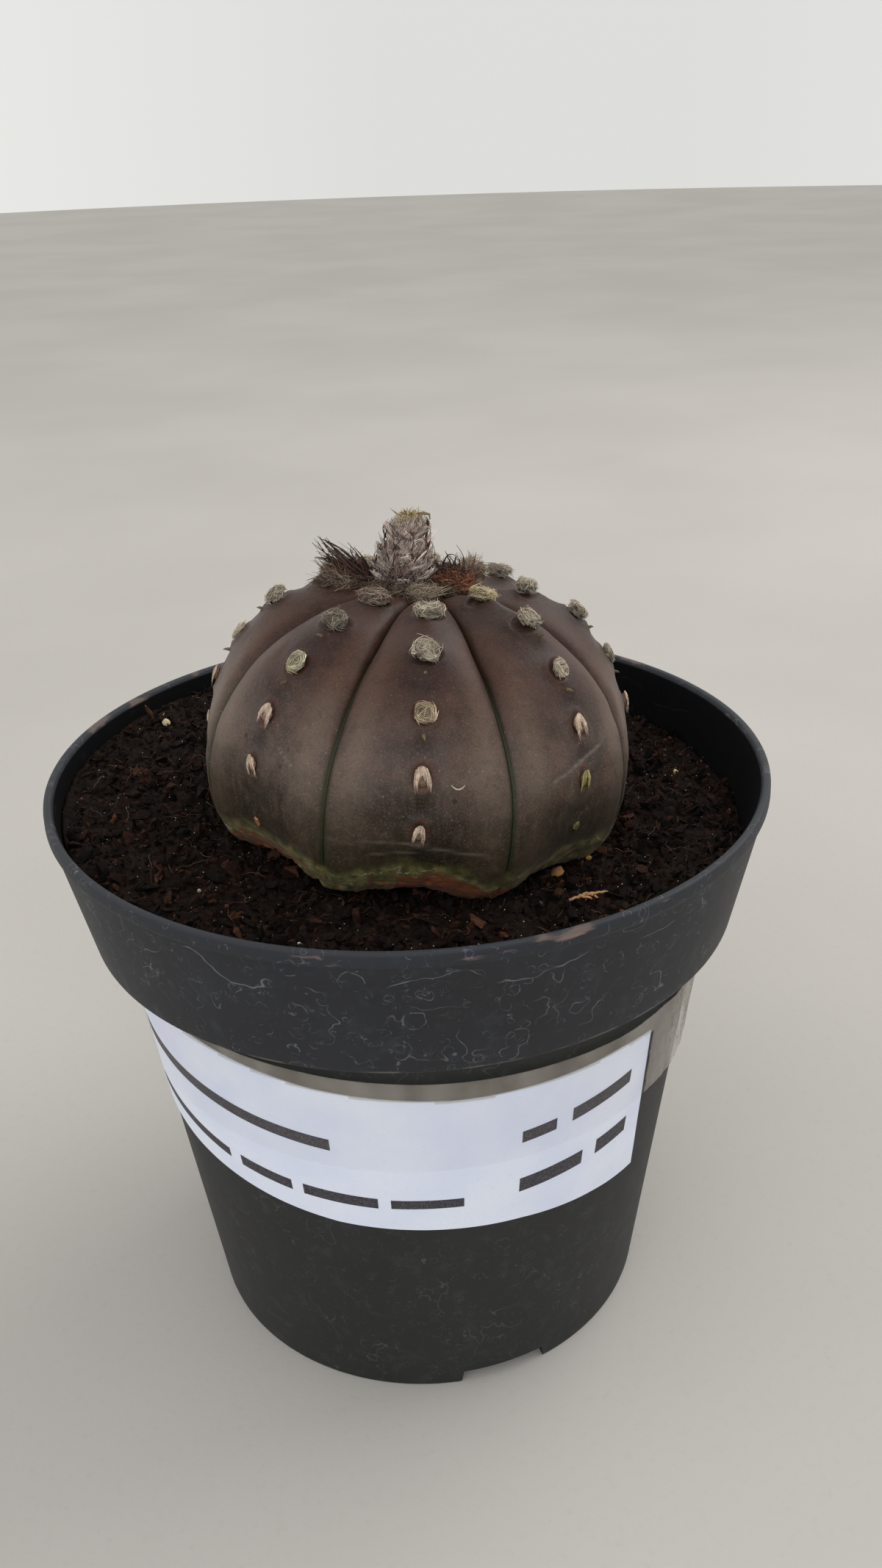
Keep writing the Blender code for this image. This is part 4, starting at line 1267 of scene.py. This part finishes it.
def make_bristles(look):
    """Long dark bristles that lie over the fruit's wool, and short ones round its foot."""
    rng = np.random.default_rng(32)
    count = 120
    foot, angle = rng.uniform(-0.05, 0.78, count), rng.uniform(0, tau, count)
    steps = np.linspace(0, 1, 7)[None, :]
    long = np.minimum(rng.uniform(0.16, 0.42, (count, 1)), 0.98 - foot[:, None])
    lean = rng.normal(0, 0.42, (count, 1))
    stray = (rng.uniform(0, 1, (count, 1)) ** 3) * 1.6 * np.sin(steps * rng.uniform(1.6, 2.8, (count, 1)))
    lift = 1.0 + 0.3 * np.sin(3 * steps) + stray
    paths = fruit_point(foot[:, None] + long * steps, angle[:, None] + lean * steps**1.5, lift)
    taper = np.array((1.2, 1.1, 1, 0.9, 0.75, 0.5, 0.2))
    over = coloured(paths, 0.095 * taper, rgb(78, 40, 34), rng, 0.4)
    count = 280
    angle = rng.uniform(0, tau, count)
    roots = FRUIT_FOOT + polar(rng.uniform(3.6, 7.0, count), angle, rng.uniform(-0.6, 0.8, count))
    reach, turned = rng.uniform(0.6, 3.4, count), angle + rng.normal(0, 0.9, count)
    out = polar(reach, turned, rng.uniform(-0.6, 1.8, count))
    litter = coloured(curved(roots, roots + out, rng.normal(0, 0.6, (count, 3)), rng, 5),
                      0.09 * np.array((1, 1, 0.9, 0.7, 0.3)), rgb(62, 44, 36), rng, 0.5)
    points, groups, colours = joined([over, litter])
    piece("fruit_bristles", points, groups, look, colours=colours)


def bundle(base, halves, heads, spread, count, rng, colour, bow, length=7, thick=0.09, wave=0.12, least=0.35):
    """Dry strands from a base mass to the neighbourhoods of some heads; least is the shortest one's share."""
    roots = base + unit(rng.normal(size=(count, 3))) * halves * rng.uniform(0.1, 1.0, (count, 1))
    heads = np.asarray(heads, float)
    tips = heads[rng.integers(0, len(heads), count)] + rng.normal(size=(count, 3)) * spread
    tips = roots + (tips - roots) * rng.uniform(least, 1.0, (count, 1)) ** 0.8
    bend = rng.normal(size=(count, 3)) * bow
    taper = np.linspace(1.25, 0.25, length)
    paths = curved(roots, tips, bend, rng, length, wave)
    return coloured(paths, thick * rng.uniform(0.6, 1.3, (count, 1)) * taper, colour, rng, 0.4)


def matted(place, halves, rng, colour):
    """The dense core of a dried flower."""
    core, faces = ball(3)
    swell = 1 + 0.28 * noise(core * 3 + 5, 0.9) + 0.16 * noise(core * 3, 0.35)
    colours = np.tile(np.array(colour), (len(core), 1)) * rng.uniform(0.6, 1.2, (len(core), 1))
    return place + core * swell[:, None] * halves, [faces], colours


def make_left_flower(look):
    """A dark stringy flower that lies to the left, with stiff strands fanning upwards from it."""
    rng = np.random.default_rng(41)
    black, dark, grey, red = rgb(72, 54, 48), rgb(118, 95, 84), rgb(166, 148, 132), rgb(138, 88, 72)
    root, back = np.array((-6.4, -1.8, 169.3)), np.array((-11.0, -2.2, 169.4))
    fan = (
        (-16.3, -1.4, 177.3), (-15.3, -1.8, 178.3), (-13.6, -1.0, 176.2), (-10.0, -1.4, 176.6),
        (-8.1, -1.6, 174.4), (-15.9, -2.0, 174.2), (-16.6, -2.4, 175.2), (-12.6, -1.0, 174.8),
    )
    low = (
        (-15.8, -2.4, 171.2), (-16.2, -3.0, 168.9), (-12.4, -4.6, 168.7), (-9.2, -4.8, 168.4),
        (-13.8, 0.6, 171.0),
    )
    points, groups, colours = joined([
        matted(root + (-0.6, 0, -0.6), (2.6, 2.0, 1.7), rng, black),
        matted(back + (-0.6, 0, -0.9), (3.2, 2.0, 1.3), rng, black),
        bundle(root, (1.8, 1.3, 1.0), fan, 0.6, 72, rng, black, thick=0.24, wave=0.05, bow=1.4, least=0.6),
        bundle(back, (2.6, 1.5, 1.0), fan, 0.9, 70, rng, dark, thick=0.13, wave=0.06, bow=1.2, least=0.3),
        bundle(root, (2.4, 1.6, 1.0), fan, 1.2, 40, rng, red, thick=0.11, wave=0.06, bow=1.3, least=0.3),
        bundle(root, (2.4, 1.8, 1.0), low, 1.2, 240, rng, dark, length=6, thick=0.10, bow=1.4),
        bundle(back, (3.2, 2.0, 0.9), low, 1.3, 260, rng, grey, length=6, thick=0.085, bow=1.5),
    ])
    replaced = ["dried_flower_left"]
    piece("dried_flower_left_strands", points, groups, look, replaced, colours=colours)


def make_right_flower(look):
    """A low rust-red tangle to the right of the fruit, with thin dark spines and a paler tuft behind."""
    rng = np.random.default_rng(42)
    rust, deep, dark, pale = rgb(194, 130, 98), rgb(152, 98, 76), rgb(100, 74, 62), rgb(188, 168, 152)
    base = np.array((10.4, -2.0, 167.2))
    around = (
        (6.0, -3.2, 169.0), (8.4, -3.0, 170.0), (10.4, -2.6, 170.6), (13.0, -2.4, 170.6),
        (15.8, -2.2, 170.0), (12.4, -4.4, 168.6), (8.2, -4.6, 168.2), (15.8, -2.6, 167.4),
    )
    spines = (
        (11.5, -1.5, 174.6), (8.6, -1.5, 173.8), (11.7, -1.4, 173.0), (14.1, -1.2, 173.6), (6.9, -1.6, 172.6),
    )
    tuft_base = np.array((14.0, 2.6, 168.2))
    tuft_heads = ((12.2, 3.4, 171.2), (14.0, 3.6, 172.2), (16.0, 3.4, 171.0), (15.0, 2.0, 171.0))
    points, groups, colours = joined([
        matted(base + (0, 0, -0.2), (4.4, 2.4, 1.3), rng, dark),
        bundle(base, (4.6, 2.6, 0.9), around, 1.0, 170, rng, rust, length=6, thick=0.11, wave=0.08, bow=2.0),
        bundle(base, (4.6, 2.6, 0.9), around, 1.0, 200, rng, deep, length=6, thick=0.10, wave=0.08, bow=2.0),
        bundle(base, (4.8, 2.8, 1.1), around, 1.3, 260, rng, dark, length=6, wave=0.12, bow=1.6),
        bundle(base + (0, -0.6, 1.2), (2.6, 0.8, 0.6), spines, 0.5, 18, rng, rgb(58, 36, 30), thick=0.20,
               wave=0.02, bow=1.3, least=0.85),
        bundle(base + (-0.6, -1.0, 1.2), (3.0, 1.0, 0.8), around, 0.8, 22, rng, rgb(206, 112, 62), length=5,
               thick=0.11, wave=0.1, bow=1.2, least=0.3),
        bundle(tuft_base, (2.2, 1.6, 1.0), tuft_heads, 0.7, 260, rng, pale, length=6, thick=0.10, bow=0.7),
        matted(tuft_base, (2.2, 1.7, 1.8), rng, rgb(92, 78, 70)),
    ])
    replaced = ["dried_flower_right"]
    piece("dried_flower_right_strands", points, groups, look, replaced, colours=colours)


CROWN_CLUMPS = (  # place, half sizes, colour
    ((4.2, -8.4, 168.0), (3.4, 1.9, 1.4), (158, 142, 124)),
    ((0.2, -7.0, 168.2), (2.4, 1.9, 1.5), (128, 110, 96)),
    ((-4.6, -6.2, 168.3), (2.6, 2.0, 1.4), (110, 94, 82)),
    ((14.8, 4.4, 168.2), (2.6, 2.2, 1.7), (150, 134, 118)),
    ((-14.6, -1.0, 168.6), (2.8, 2.2, 1.4), (104, 92, 80)),
    ((8.4, -5.8, 167.3), (2.4, 1.8, 1.2), (92, 76, 62)),
    ((4.8, 4.6, 167.0), (4.2, 3.2, 2.0), (120, 106, 92)),
    ((-4.6, 3.6, 167.8), (3.6, 3.2, 2.0), (112, 98, 86)),
    ((10.4, 4.4, 167.4), (3.4, 3.0, 2.0), (116, 102, 90)),
)


def make_crown_wool(look):
    """Grey and brown clumps packed round the foot of the fruit."""
    rng = np.random.default_rng(43)
    tufts = []
    for place, halves, colour in CROWN_CLUMPS:
        out = unit(np.array(place) - STEM_CENTRE)
        across = unit(np.cross((0, 1, 0.2), out))
        axes = turned_axes(np.stack((across, np.cross(out, across), out)), rng.uniform(-0.6, 0.6))
        own = rgb(*colour)
        tufts.append(tuft(np.array(place), axes, halves, 460, rng, own, 0.9, 0.065, 0.95, swirl=0.5))
    points, groups, colours = joined(tufts)
    piece("crown_clumps", points, groups, look, ["crown_wool"], colours=colours)


# Soil

PEAT = np.array([rgb(*shade) for shade in (
    (31, 21, 18), (42, 29, 22), (19, 14, 12), (57, 36, 27), (82, 52, 38),
)])


def soil_height(x, y):
    """The soil's sloping top without its crumbs, lower in a ring round the stem."""
    from_stem = np.hypot(x - STEM_CENTRE[0], y - STEM_CENTRE[1])
    dip = SOIL_DIP * bell(from_stem, SOIL_DIP_REACH, SOIL_DIP_WIDTH)
    return SOIL_MIDDLE - SOIL_FALL * x + SOIL_RISE * y - dip


def soil_relief(x, y):
    """Crumbs on the soil, from pebble-sized down to grains."""
    flat = stacked(x, y, 0.0 * x)
    relief = 0.9 * noise(flat, 11.0, 21) + 0.8 * noise(flat, 5.5, 22)
    relief += 1.1 * (ridged(flat + 0.5 * noise(flat, 2.0, 24)[..., None], 2.6, 23) - 0.5)
    relief += 0.55 * (ridged(flat, 1.25, 25) - 0.5)
    return relief + 0.22 * noise(flat, 0.62, 26)


def soil_top(x, y):
    return soil_height(x, y) + soil_relief(x, y)


def make_soil(look):
    """A plug that fills the pot, with a crumbly top."""
    rng = np.random.default_rng(51)
    columns, rings = 620, 118
    edge = float(inner_radius(SOIL_MIDDLE)) - SOIL_GAP
    radius = np.linspace(20.0, edge, rings)[:, None]
    angle = np.arange(columns) * tau / columns
    top = polar(radius, angle, 0.0)
    height = soil_height(top[..., 0], top[..., 1])
    top[..., :2] *= (1 + (radius / edge) ** 6 * ((inner_radius(height) - SOIL_GAP) / edge - 1))[..., None]
    x, y = top[..., 0], top[..., 1]
    off_wall = step_up(edge - np.hypot(x, y), 0.0, 2.5)
    top[..., 2] = soil_height(x, y) + soil_relief(x, y) * (0.4 + 0.6 * off_wall)
    levels = (BAND_FOOT + WALL + 1.6, BAND_FOOT - 1.0, 60.0, FLOOR_UNDERSIDE + WALL + 1.0)
    side = [polar(inner_radius(np.float64(level)) - SOIL_GAP, angle, level)[None] for level in levels]
    floor = FLOOR_UNDERSIDE + WALL + SOIL_GAP
    side.append(polar(float(inner_radius(floor)) - 2.0, angle, floor)[None])
    points = np.concatenate([top, *side])
    poles = np.array(((0, 0, SOIL_MIDDLE - 2), (0, 0, floor)))
    faces = capped_faces(len(points), columns)
    points = np.concatenate((points.reshape(-1, 3), poles))
    share = np.clip(0.5 + 0.5 * noise(points * (1, 1, 0.3), 2.2, 27), 0, 1)[:, None]
    colours = tinted(PEAT[2] + (PEAT[1] - PEAT[2]) * share, rng, 0.2)
    piece("soil_bed", points, faces, look, ["soil"], colours=colours)


OPEN_SOIL_RADIUS = 71.0


def on_soil(count, rng, low=31.0):
    """Random places on the open soil, further than low from the stem's middle."""
    radius = np.sqrt(rng.uniform((low / OPEN_SOIL_RADIUS) ** 2, 1, count)) * OPEN_SOIL_RADIUS
    angle = rng.uniform(0, tau, count)
    x, y = radius * np.cos(angle), radius * np.sin(angle)
    clear = np.hypot(x - STEM_CENTRE[0], y - STEM_CENTRE[1]) > low
    x, y = x[clear], y[clear]
    return stacked(x, y, soil_top(x, y))


# Name, seed, count, least and most size
CRUMBS = (("soil_chunks", 52, 2600, 0.75, 2.2), ("soil_crumbs", 53, 7200, 0.3, 0.8))


def make_crumbs(look):
    """Loose angular bits of peat and bark, large and small."""
    for name, seed, count, least, most in CRUMBS:
        rng = np.random.default_rng(seed)
        centres = on_soil(count, rng)
        sizes = rng.uniform(0, 1, len(centres)) ** 2.4 * (most - least) + least
        centres[:, 2] += 0.3 * sizes
        room = 72.0 - np.hypot(centres[:, 0], centres[:, 1])
        centres, sizes = centres[room > sizes], sizes[room > sizes]
        shades = rng.choice(len(PEAT), len(centres), p=(0.3, 0.27, 0.2, 0.15, 0.08))
        own = tinted(PEAT[shades], rng, 0.3)
        points, groups, colours = shards(centres, sizes, own, rng)
        piece(name, points, groups, look, colours=colours, smooth=False)


STRAWS = (  # the ends of the straw's five pieces
    ((29.0, -42.8), (33.2, -40.2)), ((32.4, -40.8), (36.8, -39.6)), ((31.0, -41.2), (33.4, -42.4)),
    ((33.0, -40.4), (34.6, -41.8)), ((30.6, -41.9), (33.0, -39.6)),
)
GRAINS = (  # place, size, colour
    (28.3, -29.6, 1.5, (168, 122, 74)), (60.1, 12.2, 1.0, (226, 196, 150)),
    (-55.7, 31.8, 1.7, (206, 192, 150)), (35.4, -23.5, 0.9, (190, 150, 92)),
    (-40.0, -40.0, 0.5, (196, 186, 166)), (-20.5, -58.0, 0.5, (200, 192, 176)),
)


def make_litter(look):
    """Root hairs, a forked straw, a tan chip and a few pale grains on the soil."""
    rng = np.random.default_rng(54)
    roots = on_soil(210, rng, 36.0)
    count = len(roots)
    heading = rng.uniform(0, tau, count)
    long = rng.uniform(2.5, 9.0, count)
    tips = roots + polar(long, heading, 0.0)
    inside = np.hypot(tips[:, 0], tips[:, 1]) < 70
    roots, tips = roots[inside], tips[inside]
    paths = curved(roots, tips, rng.normal(size=roots.shape) * (1.6, 1.6, 0.2), rng, 8, 0.12)
    paths[..., 2] = soil_top(paths[..., 0], paths[..., 1]) + 0.22 + 0.3 * np.sin(np.linspace(0, pi, 8))
    taper = np.array((0.6, 1, 1.1, 1, 1, 0.9, 0.7, 0.3))
    hairs = coloured(paths, 0.09 * taper, rgb(84, 58, 46), rng, 0.45)
    straw = []
    for start, end in STRAWS:
        share = np.linspace(0, 1, 8)[:, None]
        flat = np.array(start) * (1 - share) + np.array(end) * share
        straw.append(np.column_stack((flat, soil_height(*flat.T) + 1.5 + 0.1 * rng.normal(size=8))))
    thick = np.array((0.35, 0.33, 0.3, 0.34, 0.28, 0.3, 0.24, 0.12))
    twig = coloured(np.array(straw), thick, rgb(186, 142, 96), rng, 0.12)
    places = np.array([(x, y, soil_top(np.array(x), np.array(y)) + 0.5) for x, y, _, _ in GRAINS])
    grains, grain_faces = lumps(places, np.array([grain[2] for grain in GRAINS]), 2, rng, 0.3)
    grain_colours = np.array([rgb(*grain[3]) for grain in GRAINS])
    grain_colours = np.repeat(grain_colours, len(grains) // len(GRAINS), axis=0)
    points, faces, colours = joined([hairs, twig, (grains, grain_faces, grain_colours)])
    piece("soil_litter", points, faces, look, colours=colours)


# Label and tape

def wall_sheet(top, foot, right_lean, columns, rows, offset, thickness, wave):
    """A thin closed sheet on the pot's tapered wall, between two edges of (degrees, height)."""
    along, up = np.meshgrid(np.linspace(0, 1, columns), np.linspace(0, 1, rows), indexing="xy")
    first, last = top[0][0], top[-1][0]
    degrees = first + along * (last + right_lean * (1 - up) - first)
    high = np.interp(degrees, *np.array(top).T)
    low = np.interp(degrees, *np.array(foot).T)
    height = low + up * (high - low)
    angle = np.radians(degrees)
    wall = BASE_RADIUS + BODY_TAPER * height + (offset + wave(degrees, height))
    layers = [polar(wall + out, angle, height) for out in (thickness, 0.0)]
    size = rows * columns
    outer = grid_faces(rows, columns)
    index = np.arange(size).reshape(rows, columns)
    rim = np.concatenate((index[0], index[1:, -1], index[-1, -2::-1], index[-2:0:-1, 0]))
    ahead = np.roll(rim, -1)
    edges = np.stack((ahead, rim, rim + size, ahead + size), axis=-1)
    points = np.concatenate([layer.reshape(-1, 3) for layer in layers])
    return points, np.concatenate((outer, outer[:, ::-1] + size, edges)), np.degrees(angle), height


def unrolled(degrees, height):
    """Places on the pot's wall laid flat, in millimetres round it and up."""
    return stacked(np.radians(degrees) * 60, height, 0 * height)


def label_wave(degrees, height):
    flat = unrolled(degrees, height)
    return 0.07 * noise(flat, 16.0, 61) + 0.02 * noise(flat, 5.0, 62)


def tape_folds(degrees, height):
    """How loose the tape is: most right of the label. And its folds, as a share of their full height."""
    flat = unrolled(degrees, height)
    slanted = flat @ np.array(((0.9, 0.35, 0), (0.15, 0.16, 0), (0, 0, 1)))
    loose = step_up(degrees, -44.0, -30.0)
    under_band = bell(height, 92.6, 1.2) * step_up(degrees, -66.0, -54.0)
    fold = ridged(slanted, 3.0, 63) * 0.5 + 0.5 * ridged(slanted, 1.4, 64)
    return np.clip(loose + 0.7 * under_band, 0, 1), fold


def tape_wave(degrees, height):
    creased, fold = tape_folds(degrees, height)
    flat = unrolled(degrees, height)
    loose = 0.5 * fold + 0.15 * (1 + noise(flat, 7.0, 66))
    return 0.08 + 0.05 * noise(flat, 12.0, 65) + creased * loose


# Printed lines as plain bars: (left and right angle, height at the left and right end, thickness)
PRINT_BARS = (
    (-160.0, -107.5, 80.5, 75.6, 3.0), (-158.0, -132.0, 66.6, 62.9, 2.4), (-129.0, -117.0, 62.6, 61.4, 2.8),
    (-114.5, -99.5, 61.2, 60.3, 2.8), (-97.0, -83.0, 60.2, 59.9, 2.4), (-72.0, -65.0, 74.9, 75.6, 3.0),
    (-61.5, -47.0, 76.2, 78.0, 3.4), (-72.0, -58.0, 61.4, 62.6, 3.8), (-54.5, -46.0, 63.2, 64.2, 4.0),
)
LABEL_RIGHT_LEAN = 2.1
INK_OFFSET = LABEL_OFFSET + PAPER + 0.005
INK = 0.04


def make_label():
    """The paper and, just off it, the bars."""
    edges = LABEL_TOP, LABEL_FOOT, LABEL_RIGHT_LEAN
    points, faces, _, _ = wall_sheet(*edges, 300, 48, LABEL_OFFSET, PAPER, label_wave)
    piece("label_sheet", points, faces, paper_look(), ["paper_label"], sharp=radians(40))
    bars = []
    for left, right, high_left, high_right, tall in PRINT_BARS:
        top = ((left, high_left + tall / 2), (right, high_right + tall / 2))
        foot = ((left, high_left - tall / 2), (right, high_right - tall / 2))
        columns = int((right - left) * 2) + 4
        bar, bar_faces, _, _ = wall_sheet(top, foot, 0.0, columns, 4, INK_OFFSET, INK, label_wave)
        bars.append((bar, [bar_faces], np.zeros((len(bar), 3))))
    points, groups, _ = joined(bars)
    piece("label_print", points, groups, ink_look(), sharp=radians(40))


def make_tape():
    """The strip of tape, marked where it is creased and where it sticks to the paper."""
    edges = TAPE_TOP, TAPE_FOOT, 0.0
    points, faces, degrees, height = wall_sheet(*edges, 520, 44, TAPE_OFFSET, TAPE, tape_wave)
    creased, fold = tape_folds(degrees, height)
    crease = creased * (0.35 + 0.65 * fold)
    top, foot = (np.interp(degrees, *np.array(edge).T) for edge in (LABEL_TOP, LABEL_FOOT))
    right = LABEL_TOP[-1][0] + LABEL_RIGHT_LEAN * (top - height) / (top - foot)
    stuck = (height < top) & (degrees < right)
    marks = dict(crease=np.tile(crease.ravel(), 2), stuck=np.tile(stuck.ravel().astype(float), 2))
    piece("tape_strip", points, faces, film_look(), ["clear_tape"], marks=marks)


# The whole

make_camera()
make_stage()
make_pot()
areole_places = areole_list()
make_skin(areole_places)
wool_look = fibre_look("dry_wool", 0.9, 0.2)
dry_look = fibre_look("dry_flower_fibre", 0.7, 0.35)
make_areoles(areole_places, wool_look)
make_spine_tips(areole_places, dry_look)
make_fruit(wool_look)
make_bristles(dry_look)
make_left_flower(dry_look)
make_right_flower(dry_look)
make_crown_wool(wool_look)
peat_look = soil_look()
make_soil(peat_look)
make_crumbs(peat_look)
make_litter(dry_look)
make_label()
make_tape()
